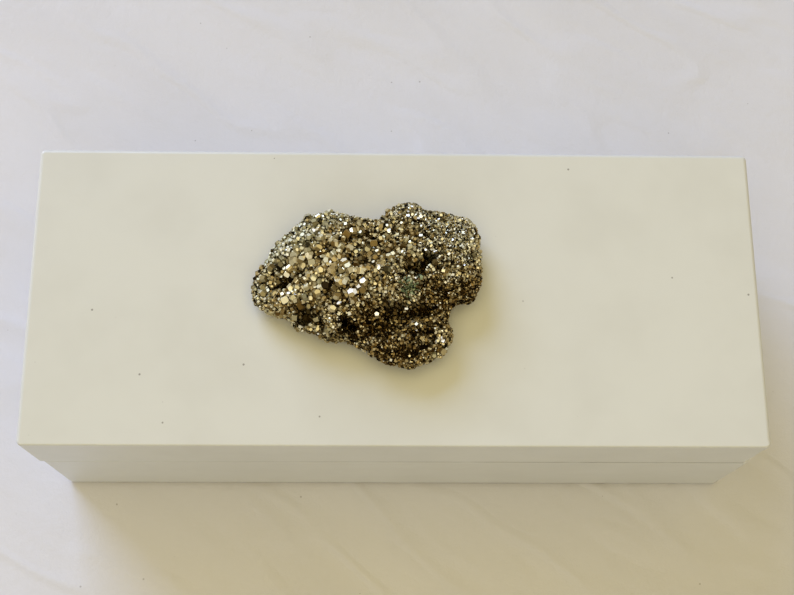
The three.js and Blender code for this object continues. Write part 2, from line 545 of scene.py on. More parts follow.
@dataclass(frozen=True)
class TarnishedPyrite:
    """Pyrite from dark tarnish to bright metal, with a little green copper mineral.

    A face's place on its map says how it is coloured: along the map it runs from dark to bright,
    where the dark end carries tarnish and painted shade and the near-white top carries painted
    glints, and up the map from golden through silvery to green.

    Attributes:
        name: The material's name.
        golden: Colours of the golden faces, from dark to bright.
        silvery: Colours of the silvery faces, from dark to bright.
        green: Colours of the green crust.
    """

    name: str
    # In both metal ramps the top stop is near-white: it colours painted glints.
    golden: Stops = (
        (0.00, (0.003, 0.002, 0.001)),
        (0.22, (0.036, 0.017, 0.003)),
        (0.45, (0.195, 0.120, 0.030)),
        (0.68, (0.405, 0.310, 0.130)),
        (0.88, (0.610, 0.525, 0.305)),
        (1.00, (0.970, 0.940, 0.840)),
    )
    silvery: Stops = (
        (0.00, (0.004, 0.003, 0.002)),
        (0.22, (0.040, 0.031, 0.011)),
        (0.45, (0.190, 0.162, 0.074)),
        (0.68, (0.385, 0.352, 0.205)),
        (0.88, (0.580, 0.548, 0.385)),
        (1.00, (0.970, 0.955, 0.890)),
    )
    green: Stops = (
        (0.00, (0.010, 0.015, 0.006)),
        (0.35, (0.058, 0.084, 0.036)),
        (0.70, (0.200, 0.265, 0.130)),
        (1.00, (0.520, 0.580, 0.380)),
    )

    def material(self) -> bpy.types.Material:
        """Mixes the mineral. Tarnish is rougher than bright metal, and the crust isn't metal.

        Returns:
            The mineral.
        """
        material, tree = new_finish(self.name)
        ledger = tree.node("ShaderNodeUVMap", {"uv_map": BAKE_MAP})
        bright = tree.node("ShaderNodeSeparateXYZ", values={0: ledger}, output="X")
        kind = bright.also("Y")
        warm = tree.node("ShaderNodeValToRGB", {"stops": self.golden}, {0: bright})
        pale = tree.node("ShaderNodeValToRGB", {"stops": self.silvery}, {0: bright})
        crust = tree.node("ShaderNodeValToRGB", {"stops": self.green}, {0: bright})
        crusted = kind.between(0.84, 0.90)
        metal = tree.blend(kind.between(0.05, 0.75), warm, pale)
        colour = tree.blend(crusted, metal, crust)
        rough = 0.60 - bright.between(0.35, 0.98) * 0.30 + crusted * 0.3
        shine = 1 - crusted
        tree.surface({"Base Color": colour, "Metallic": shine, "Roughness": rough, "IOR": 1.6})
        return material


@dataclass(frozen=True)
class SheetOfPaper:
    """Thick white paper that the box stands on.

    Attributes:
        name: The material's name.
        paper: Its colour.
        shade: Its colour over the swells of its relief, a painted shade of the creases.
        fleck: The colour of the flecks on it.
    """

    name: str
    paper: Colour = (0.718, 0.702, 0.706)
    shade: Colour = (0.688, 0.672, 0.675)
    fleck: Colour = (0.330, 0.300, 0.270)

    def material(self) -> bpy.types.Material:
        """Mixes a paper with long soft creases, painted shade over their swells, a fine tooth and a few
        flecks.

        Returns:
            The paper.
        """
        material, tree = new_finish(self.name)
        at = tree.place()
        turned = tree.node("ShaderNodeMapping", values={"Vector": at, "Rotation": (0.0, 0.0, 0.6)})
        long = tree.stretched((0.35, 1.0, 1.0), turned)
        swells = tree.grains(0.060, 3.0, 0.55, long)
        creases = 1 - abs(tree.grains(0.055, 2.0, 0.5, long) - 0.5).between(0.0, 0.05)
        tooth = tree.grains(0.0045, 4.0, 0.70)
        flecks = tree.specks(at, 70.0, (0.86, 0.040), 0.014)
        # Painted shade: the paper darkens over the same swells that tilt its relief.
        tone = tree.blend(swells.between(0.35, 0.7), self.paper, self.shade)
        colour = tree.blend(flecks * 0.6, tone, self.fleck)
        soft = tree.relief(creases, 0.40 * MM, tree.relief(swells, 4.0 * MM))
        normal = tree.relief(tooth, 0.24 * MM, soft)
        tree.surface({"Base Color": colour, "Roughness": 0.92, "Normal": normal})
        return material


# ---------------------------------------------------------------------------------------------
# Mesh helpers
# ---------------------------------------------------------------------------------------------


def new_piece(name: str, mesh: bpy.types.Mesh) -> bpy.types.Object:
    """Puts a mesh into the scene as a piece of that name."""
    piece = bpy.data.objects.new(name, mesh)
    bpy.context.scene.collection.objects.link(piece)
    return piece


def mesh_piece(name: str, points: np.ndarray, faces: Sequence[Sequence[int]]) -> bpy.types.Object:
    """Makes a piece from points and faces.

    Args:
        name: The piece's name.
        points: One row a point, in metres.
        faces: The points of each face, in order round it.

    Returns:
        The piece, in the scene.
    """
    mesh = bpy.data.meshes.new(name)
    mesh.from_pydata(np.asarray(points, float).tolist(), [], [list(map(int, f)) for f in faces])
    mesh.update()
    return new_piece(name, mesh)


def close_and_shade(piece: bpy.types.Object, sharp: float = 33.0) -> None:
    """Joins points that meet, and shades the piece smooth but for its sharp edges.

    Args:
        piece: The piece, whose mesh is changed.
        sharp: The least angle of a sharp edge, in degrees.
    """
    work = bmesh.new()
    work.from_mesh(piece.data)
    bmesh.ops.remove_doubles(work, verts=work.verts, dist=0.002 * MM)
    bmesh.ops.dissolve_degenerate(work, edges=work.edges, dist=0.001 * MM)
    bmesh.ops.recalc_face_normals(work, faces=work.faces)
    for face in work.faces:
        face.smooth = True
    for edge in work.edges:
        edge.smooth = edge.is_manifold and edge.calc_face_angle(math.pi) < math.radians(sharp)
    work.to_mesh(piece.data)
    work.free()
    level = piece.modifiers.new("Flat faces stay flat", "WEIGHTED_NORMAL")
    level.keep_sharp = True
    level.weight = 80


def baked_mesh(piece: bpy.types.Object) -> None:
    """Applies a piece's modifiers to its mesh.

    Args:
        piece: The piece, which then has no modifiers.
    """
    shown = piece.evaluated_get(bpy.context.evaluated_depsgraph_get())
    mesh = bpy.data.meshes.new_from_object(shown)
    piece.modifiers.clear()
    piece.data = mesh


def points_of(piece: bpy.types.Object) -> np.ndarray:
    """The piece's points, one row each, in metres."""
    flat = np.empty(len(piece.data.vertices) * 3, np.float32)
    piece.data.vertices.foreach_get("co", flat)
    return flat.reshape(-1, 3).astype(float)


def outward_of(piece: bpy.types.Object) -> np.ndarray:
    """The direction out of the piece at each of its points, one row each."""
    flat = np.empty(len(piece.data.vertices) * 3, np.float32)
    piece.data.vertices.foreach_get("normal", flat)
    return flat.reshape(-1, 3)


def move_points(piece: bpy.types.Object, points: np.ndarray) -> None:
    """Puts the piece's points at new places, one row each, in metres."""
    piece.data.vertices.foreach_set("co", points.astype(np.float32).ravel())
    piece.data.update()


def box_of(*nodes: str) -> tuple[Vector, Vector]:
    """Finds the box round several CAD nodes together.

    Args:
        nodes: The nodes' names.

    Returns:
        Its lowest and highest corner.
    """
    corners = [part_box(node) for node in nodes]
    low = Vector(map(min, *(c[0] for c in corners))) if len(corners) > 1 else corners[0][0]
    high = Vector(map(max, *(c[1] for c in corners))) if len(corners) > 1 else corners[0][1]
    return low, high


def hand_over(
    piece: bpy.types.Object, finish: bpy.types.Material, slot: Slot, half: Half, *nodes: str
) -> None:
    """Dresses a finished piece and fixes it to the frame.

    Args:
        piece: The piece.
        finish: Its material.
        slot: Its material slot. It is not used.
        half: The half of the box that it moves with.
        nodes: The CAD nodes that it stands for.
    """
    piece.data.materials.clear()
    piece.data.materials.append(finish)
    if nodes:
        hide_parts(*nodes)
    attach(piece, half.value)
    log.info("%s: %d faces, for %s", piece.name, len(piece.data.polygons), ", ".join(nodes) or "itself")


def dress_node(node: str, finish: bpy.types.Material) -> None:
    """Gives a CAD node that stays in view its finish.

    Args:
        node: The node's name.
        finish: Its material.
    """
    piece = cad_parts[node]
    if not piece.material_slots:
        piece.data.materials.append(finish)
    for held in piece.material_slots:
        held.material = finish
    log.info("%s: kept from the CAD, dressed in %s", node, finish.name)


# ---------------------------------------------------------------------------------------------
# Boards
# ---------------------------------------------------------------------------------------------


@dataclass
class BoardFrame:
    """Four boards mitred round a rectangle, each a piece of its own.

    Attributes:
        nodes: The CAD nodes of the front, right, back and left board.
        pieces: The names of the pieces that stand for them.
        half: The half that they belong to.
        slot: Their material slot.
        finish: Their material.
        corner: Radius of the frame's upright corners, in metres.
        ease_top: Radius of the outer top edge.
        ease_bottom: Radius of the outer bottom edge.
        ease_inside: Radius of the inner edges.
        steps: How many flats make a rounded edge.
    """

    nodes: tuple[str, str, str, str]
    pieces: tuple[str, str, str, str]
    half: Half
    slot: Slot
    finish: bpy.types.Material
    corner: float
    ease_top: float
    ease_bottom: float
    ease_inside: float
    steps: int = 5

    def _rows(self, thick: float, low: float, high: float) -> list[tuple[bool, float, float]]:
        """The board's section, from its outer bottom edge up, over and down inside.

        Args:
            thick: The board's thickness.
            low: Its lowest height.
            high: Its highest height.

        Returns:
            For each point whether it is on the outer side, its depth and its height.
        """
        turns = [math.pi / 2 * k / self.steps for k in range(self.steps + 1)]
        rows = []
        for turn in turns:
            radius = self.ease_bottom
            rows.append((True, radius * (1 - math.sin(turn)), low + radius * (1 - math.cos(turn))))
        for turn in turns:
            radius = self.ease_top
            rows.append((True, radius * (1 - math.cos(turn)), high - radius * (1 - math.sin(turn))))
        radius = self.ease_inside
        for turn in turns:
            depth = thick - radius * (1 - math.sin(turn))
            rows.append((False, depth, high - radius * (1 - math.cos(turn))))
        for turn in turns:
            depth = thick - radius * (1 - math.cos(turn))
            rows.append((False, depth, low + radius * (1 - math.sin(turn))))
        return rows

    def _stations(self, length: float) -> list[tuple[float, float, float, float]]:
        """Places along the outer face, from one mitre to the other.

        Args:
            length: The board's outer length.

        Returns:
            For each the distance along, the depth, and the inward direction along and across.
        """
        half_turn = [math.pi / 4 * (1 + k / self.steps) for k in range(self.steps + 1)]
        start = []
        for turn in half_turn:
            across, inward = math.cos(turn), math.sin(turn)
            start.append((self.corner * (1 - across), self.corner * (1 - inward), across, inward))
        end = [(length - s, depth, -across, inward) for s, depth, across, inward in reversed(start)]
        return start + end

    def _board(self, side: Side, low: Vector, high: Vector, thick: float) -> bpy.types.Object:
        """Sweeps one board's section from mitre to mitre.

        Args:
            side: The side of the frame that it stands on.
            low: The frame's lowest corner.
            high: The frame's highest corner.
            thick: The boards' thickness.

        Returns:
            The board.
        """
        corners = [(low.x, low.y), (high.x, low.y), (high.x, high.y), (low.x, high.y)]
        first = Vector(corners[side.value])
        run = Vector(corners[(side.value + 1) % 4]) - first
        length, along = run.length, run.normalized()
        inward = Vector((-along.y, along.x))
        rows = self._rows(thick, low.z, high.z)
        stations = self._stations(length)
        points = []
        for s, depth, lean, straight in stations:
            for outer, set_in, height in rows:
                if outer:
                    at, deep = s + set_in * lean, depth + set_in * straight
                else:
                    at, deep = min(max(s, set_in), length - set_in), set_in
                spot = first + along * at + inward * deep
                points.append((spot.x, spot.y, height))
        count = len(rows)
        faces = [list(range(count)), [(len(stations) - 1) * count + k for k in reversed(range(count))]]
        for station in range(len(stations) - 1):
            for k in range(count):
                a, b = station * count + k, station * count + (k + 1) % count
                faces.append([a, b, b + count, a + count])
        piece = mesh_piece(self.pieces[side.value], np.array(points), faces)
        close_and_shade(piece)
        return piece

    def build(self) -> list[bpy.types.Object]:
        """Builds and dresses the four boards.

        Returns:
            The boards, from the front one round.
        """
        low, high = box_of(*self.nodes)
        front_low, front_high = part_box(self.nodes[0])
        boards = []
        for side in Side:
            board = self._board(side, low, high, front_high.y - front_low.y)
            hand_over(board, self.finish, self.slot, self.half, self.nodes[side.value])
            boards.append(board)
        return boards


@dataclass
class LidPanel:
    """The lid's big top board, with eased edges all round and rounded corners.

    Attributes:
        finish: Its material.
        corner: Radius of its upright corners, in metres.
        ease: Radius of its top edge.
        ease_front: Radius of its top edge along the front, where it was sanded less.
        steps: How many flats make a rounded edge.
    """

    finish: bpy.types.Material
    corner: float = 2.4 * MM
    ease: float = 1.9 * MM
    ease_front: float = 0.8 * MM
    steps: int = 8

    def _ring(self, low: Vector, high: Vector, rise: float) -> list[tuple[float, float, float]]:
        """Points round the panel, some way over its rounded edge.

        Args:
            low: The panel's lowest corner.
            high: Its highest corner.
            rise: How far over the edge, from 0 where it leaves the side to a quarter turn.

        Returns:
            The points, counterclockwise.
        """
        middles = [
            (high.x - self.corner, high.y - self.corner, 0.0),
            (low.x + self.corner, high.y - self.corner, 0.5 * math.pi),
            (low.x + self.corner, low.y + self.corner, math.pi),
            (high.x - self.corner, low.y + self.corner, 1.5 * math.pi),
        ]
        ring = []
        for x, y, start in middles:
            for k in range(2 * self.steps + 1):
                turn = start + math.pi / 2 * k / (2 * self.steps)
                ease = self.ease + (self.ease_front - self.ease) * max(0.0, -math.sin(turn))
                radius = self.corner - ease * (1 - math.cos(rise))
                drop = ease * (1 - math.sin(rise))
                ring.append((x + radius * math.cos(turn), y + radius * math.sin(turn), high.z - drop))
        return ring

    def build(self) -> bpy.types.Object:
        """Builds and dresses the panel.

        Returns:
            The panel.
        """
        low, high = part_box("lid_top_panel")
        rings = [[(x, y, low.z) for x, y, _ in self._ring(low, high, 0.0)]]
        for k in range(self.steps + 1):
            rings.append(self._ring(low, high, math.pi / 2 * k / self.steps))
        count = len(rings[0])
        faces = [list(reversed(range(count)))]
        for ring in range(len(rings) - 1):
            for k in range(count):
                a, b = ring * count + k, ring * count + (k + 1) % count
                faces.append([a, b, b + count, a + count])
        faces.append([(len(rings) - 1) * count + k for k in range(count)])
        piece = mesh_piece("lid_top_board", np.array(sum(rings, [])), faces)
        close_and_shade(piece)
        hand_over(piece, self.finish, Slot.LACQUER, Half.LID, "lid_top_panel")
        return piece


# ---------------------------------------------------------------------------------------------
# Linings
# ---------------------------------------------------------------------------------------------


@dataclass
class LiningPad:
    """A velvet pad over thin foam, glued down on a card.

    Attributes:
        node: The CAD node that it stands for.
        name: The piece's name.
        half: The half that it lies in.
        finish: Its velvet.
        upward: Whether its soft side faces up.
        spacing: How far apart its points lie before it is sewn, in metres.
        slack: The share by which the velvet is larger than the foam.
        rise: How far its middle stands above its rim.
        cap: The farthest that any point may move while it fills out.
        layers: For its card side, its widest line and its soft side, how far each is set in, in
            millimetres, and how high it lies, from 0 on the card to 1.
    """

    node: str
    name: str
    half: Half
    finish: bpy.types.Material
    upward: bool
    spacing: float = 4.6 * MM
    slack: float = 0.035
    rise: float = 1.5 * MM
    cap: float = 0.9 * MM
    layers: tuple[tuple[float, float], ...] = ((0.7, 0.0), (0.0, 0.45), (0.6, 1.0))

    def _flat(self) -> tuple[bpy.types.Object, np.ndarray]:
        """A thin closed pad with rolled sides, before it fills out.

        Returns:
            The pad, and for each point whether it is held down on the card.
        """
        low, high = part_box(self.node)
        span = high - low
        across = max(8, round(span.x / self.spacing))
        along = max(8, round(span.y / self.spacing))
        body = self.cap + self.rise
        work = bmesh.new()
        held = []
        layers = []
        for layer, (inset, level) in enumerate(self.layers):
            grid = []
            for i in range(across + 1):
                column = []
                for j in range(along + 1):
                    u, v = 2 * i / across - 1, 2 * j / along - 1
                    squeeze = 1 - inset * MM / (0.5 * span.y) * max(abs(u), abs(v)) ** 6
                    ring = max(abs(u), abs(v))
                    if layer == 1 and ring < 1:
                        column.append(None)
                        continue
                    round_off = 1 - 0.012 * (abs(u) * abs(v)) ** 8
                    x = (low.x + high.x) / 2 + u * (0.5 * span.x - self.cap) * squeeze * round_off
                    y = (low.y + high.y) / 2 + v * (0.5 * span.y - self.cap) * squeeze * round_off
                    crown = (1 - abs(u) ** 14) * (1 - abs(v) ** 6) if layer == 2 else 0.0
                    z = level * (span.z - body) + crown * self.rise
                    z = low.z + z if self.upward else high.z - z
                    column.append(work.verts.new((x, y, z)))
                    held.append(layer == 0)
                grid.append(column)
            layers.append(grid)
        for layer in (0, 2):
            grid = layers[layer]
            for i in range(across):
                for j in range(along):
                    work.faces.new((grid[i][j], grid[i + 1][j], grid[i + 1][j + 1], grid[i][j + 1]))
        rim = [(i, 0) for i in range(across)] + [(across, j) for j in range(along)]
        rim += [(i, along) for i in range(across, 0, -1)] + [(0, j) for j in range(along, 0, -1)]
        for lower, upper in ((0, 1), (1, 2)):
            for k, (i, j) in enumerate(rim):
                m, n = rim[(k + 1) % len(rim)]
                a, b = layers[lower], layers[upper]
                work.faces.new((a[i][j], a[m][n], b[m][n], b[i][j]))
        bmesh.ops.recalc_face_normals(work, faces=work.faces)
        mesh = bpy.data.meshes.new(self.name)
        work.to_mesh(mesh)
        work.free()
        return new_piece(self.name, mesh), np.array(held)

    def _fill_out(self, piece: bpy.types.Object, held: np.ndarray) -> None:
        """Lets the velvet swell and pucker over its foam, as cloth, and keeps the result.

        Args:
            piece: The flat pad.
            held: For each point whether it is glued down.
        """
        before = points_of(piece)
        glued = piece.vertex_groups.new(name="glued")
        glued.add(np.flatnonzero(held).tolist(), 1.0, "REPLACE")
        cloth = piece.modifiers.new("Velvet", "CLOTH")
        settings = cloth.settings
        settings.vertex_group_mass = glued.name
        settings.use_pressure = True
        settings.uniform_pressure_force = 4.0
        settings.shrink_min = -self.slack
        settings.effector_weights.gravity = 0
        settings.quality = 6
        settings.tension_stiffness = 20
        settings.bending_stiffness = 0.3
        scene = bpy.context.scene
        for step in range(1, 21):
            scene.frame_set(step)
        baked_mesh(piece)
        scene.frame_set(1)
        after = points_of(piece)
        move = after - before
        length = np.linalg.norm(move, axis=1, keepdims=True)
        reach = self.cap * np.tanh(length / self.cap)
        kept = before + move * reach / np.maximum(length, 1e-9)
        kept[held] = before[held]
        move_points(piece, kept)

    def build(self) -> bpy.types.Object:
        """Builds, fills out and dresses the pad.

        Returns:
            The pad.
        """
        piece, held = self._flat()
        self._fill_out(piece, held)
        finer = piece.modifiers.new("Finer", "SUBSURF")
        finer.levels = 1
        finer.render_levels = 1
        baked_mesh(piece)
        low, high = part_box(self.node)
        move_points(piece, np.clip(points_of(piece), np.array(low), np.array(high)))
        for face in piece.data.polygons:
            face.use_smooth = True
        hand_over(piece, self.finish, Slot.VELVET, self.half, self.node)
        return piece


@dataclass
class UndersideFelt:
    """A die-cut felt sheet glued under the base.

    Attributes:
        finish: Its felt.
        spacing: How far apart its points lie, in metres.
        fray: How uneven its cut edge is.
    """

    finish: bpy.types.Material
    spacing: float = 4 * MM
    fray: float = 0.25 * MM

    def build(self) -> bpy.types.Object:
        """Builds and dresses the felt.

        Returns:
            The felt.
        """
        low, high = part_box("underside_felt")
        span = high - low
        across, along = round(span.x / self.spacing), round(span.y / self.spacing)
        work = bmesh.new()
        bmesh.ops.create_grid(work, x_segments=across, y_segments=along, size=0.5)
        for spot in work.verts:
            u, v = 2 * spot.co.x, 2 * spot.co.y
            edge = max(abs(u), abs(v)) > 0.999
            wander = self.fray * noise.noise(Vector((u, v, 0.3)) * 40) if edge else 0.0
            inset = self.fray - wander
            spot.co.x = (low.x + high.x) / 2 + u * (0.5 * span.x - inset)
            spot.co.y = (low.y + high.y) / 2 + v * (0.5 * span.y - inset)
            spot.co.z = high.z
        mesh = bpy.data.meshes.new("underside_felt_sheet")
        work.to_mesh(mesh)
        work.free()
        piece = new_piece("underside_felt_sheet", mesh)
        body = piece.modifiers.new("Felt body", "SOLIDIFY")
        body.thickness = span.z
        body.offset = -1
        baked_mesh(piece)
        close_and_shade(piece, 50)
        hand_over(piece, self.finish, Slot.FELT, Half.BASE, "underside_felt")
        return piece


# ---------------------------------------------------------------------------------------------
# Pyrite
# ---------------------------------------------------------------------------------------------


class Habit(Enum):
    """How far a crystal's cube, pyritohedral and octahedral faces lie from its middle."""

    PYRITOHEDRON = (1.30, 1.00, 1.60)
    BLUNTED = (1.03, 1.00, 1.20)
    STUBBY = (0.94, 1.00, 1.13)
    CUBE = (0.78, 1.30, 1.60)
    CUT_CUBE = (0.82, 1.08, 1.22)

    def faces(self) -> tuple[np.ndarray, list[list[int]]]:
        """Works out the crystal's corners and faces from its planes.

        Returns:
            The corners, one row each, and the corners of each face in order round it.
        """
        cube, pyrite, octahedron = self.value
        planes = []
        for axis in range(3):
            for sign in (1.0, -1.0):
                normal = np.zeros(3)
                normal[axis] = sign
                planes.append((normal, cube))
                for other in (1.0, -1.0):
                    leaning = np.zeros(3)
                    leaning[axis] = 2 * sign
                    leaning[(axis + 1) % 3] = other
                    planes.append((leaning / math.sqrt(5), pyrite))
        for signs in product((1.0, -1.0), repeat=3):
            planes.append((np.array(signs) / math.sqrt(3), octahedron))
        normals = np.array([plane[0] for plane in planes])
        reach = np.array([plane[1] for plane in planes])
        corners: list[np.ndarray] = []
        for trio in combinations(range(len(planes)), 3):
            facing = normals[list(trio)]
            if abs(np.linalg.det(facing)) < 1e-6:
                continue
            corner = np.linalg.solve(facing, reach[list(trio)])
            inside = (normals @ corner <= reach + 1e-6).all()
            if inside and all(np.linalg.norm(corner - c) > 1e-4 for c in corners):
                corners.append(corner)
        spots = np.array(corners)
        faces = []
        for normal, distance in zip(normals, reach):
            on = np.flatnonzero(np.abs(spots @ normal - distance) < 1e-5)
            if len(on) < 3:
                continue
            middle = spots[on].mean(0)
            first = spots[on[0]] - middle
            first /= np.linalg.norm(first)
            second = np.cross(normal, first)
            out = spots[on] - middle
            order = np.argsort(np.arctan2(out @ second, out @ first))
            faces.append(on[order].tolist())
        return spots, faces


@dataclass(frozen=True)
class Stretch:
    """A stretch of the cluster that differs from the rest.

    Attributes:
        across: Its middle along the cluster's length, from 0 at the left to 1 at the right.
        along: Its middle over the cluster's depth, from 0 at the front to 1 at the back.
        reach: How far it spreads, in metres.
        bright: How much brighter its faces are, which along the front and the right is painted shade
        and along the back and the left painted light.
        silver: How much more silvery they are.
        coarse: How much more of its ground large crystals cover. Less than 0 makes the small
            ones smaller.
        glint: How much likelier a face is to carry a painted glint, a near-white colour.
    """

    across: float
    along: float
    reach: float
    bright: float = 0.0
    silver: float = 0.0
    coarse: float = 0.0
    glint: float = 0.0


@dataclass(frozen=True)
class Crevice:
    """A narrow gap that runs into the cluster.

    Attributes:
        start: One end, as shares of the cluster's length and depth.
        end: The other end.
        width: How wide it is at the surface, in metres.
        depth: How deep it goes.
    """

    start: tuple[float, float]
    end: tuple[float, float]
    width: float
    depth: float

    def depth_at(self, spots: np.ndarray, span: np.ndarray) -> np.ndarray:
        """How deep the gap is at each spot.

        Args:
            spots: Places as shares of the cluster's length and depth, one row each.
            span: That length and depth, in metres.

        Returns:
            The depths, in metres.
        """
        first, last = np.array(self.start) * span, np.array(self.end) * span
        run = last - first
        at = spots * span - first
        share = np.clip(at @ run / max(run @ run, 1e-12), 0, 1)
        away = np.linalg.norm(at - share[:, None] * run, axis=1)
        ragged = [noise.noise(Vector((x, y, 0.5)) * 38) for x, y in spots]
        away = away * (1 + 0.9 * np.array(ragged))
        taper = 0.45 + 0.55 * np.sin(np.pi * share)
        return self.depth * taper * np.exp(-((away / (0.5 * self.width)) ** 2))


@dataclass(frozen=True)
class Growth:
    """How crystals of one size grow.

    Attributes:
        radius: A middling crystal's radius, in metres.
        spread: How far radii differ, as a share.
        habits: How likely each habit is, in the order of Habit.
        drawn_out: The share by which a crystal may be drawn out or squashed along each axis.
        proud: How far its middle stands out of the ground, as a share of its radius.
        mottle: How far its brightness differs from its neighbours'.
        uneven: How far its faces differ in brightness.
        evened: How much less they do where the ground is coarse.
        shaded: How much darker it is where the ground is coarse.
        tarnish_and_shade: How bright a crystal is that is made dark, partly as tarnish and partly as
            painted shade.
        tarnish_and_shade_chance: How likely a crystal is to be made so dark.
        tarnish_and_shade_where_dim: How much likelier for each part of brightness that its place lacks,
            which deepens the painted shade.
        tarnish_and_shade_coarse: How much likelier where the ground is coarse, which paints shade
            between the large crystals.
    """

    radius: float
    spread: float
    habits: tuple[float, ...]
    drawn_out: float
    proud: float
    mottle: float
    uneven: float
    tarnish_and_shade: float
    tarnish_and_shade_chance: float
    evened: float = 0.0
    shaded: float = 0.0
    tarnish_and_shade_where_dim: float = 0.0
    tarnish_and_shade_coarse: float = 0.0


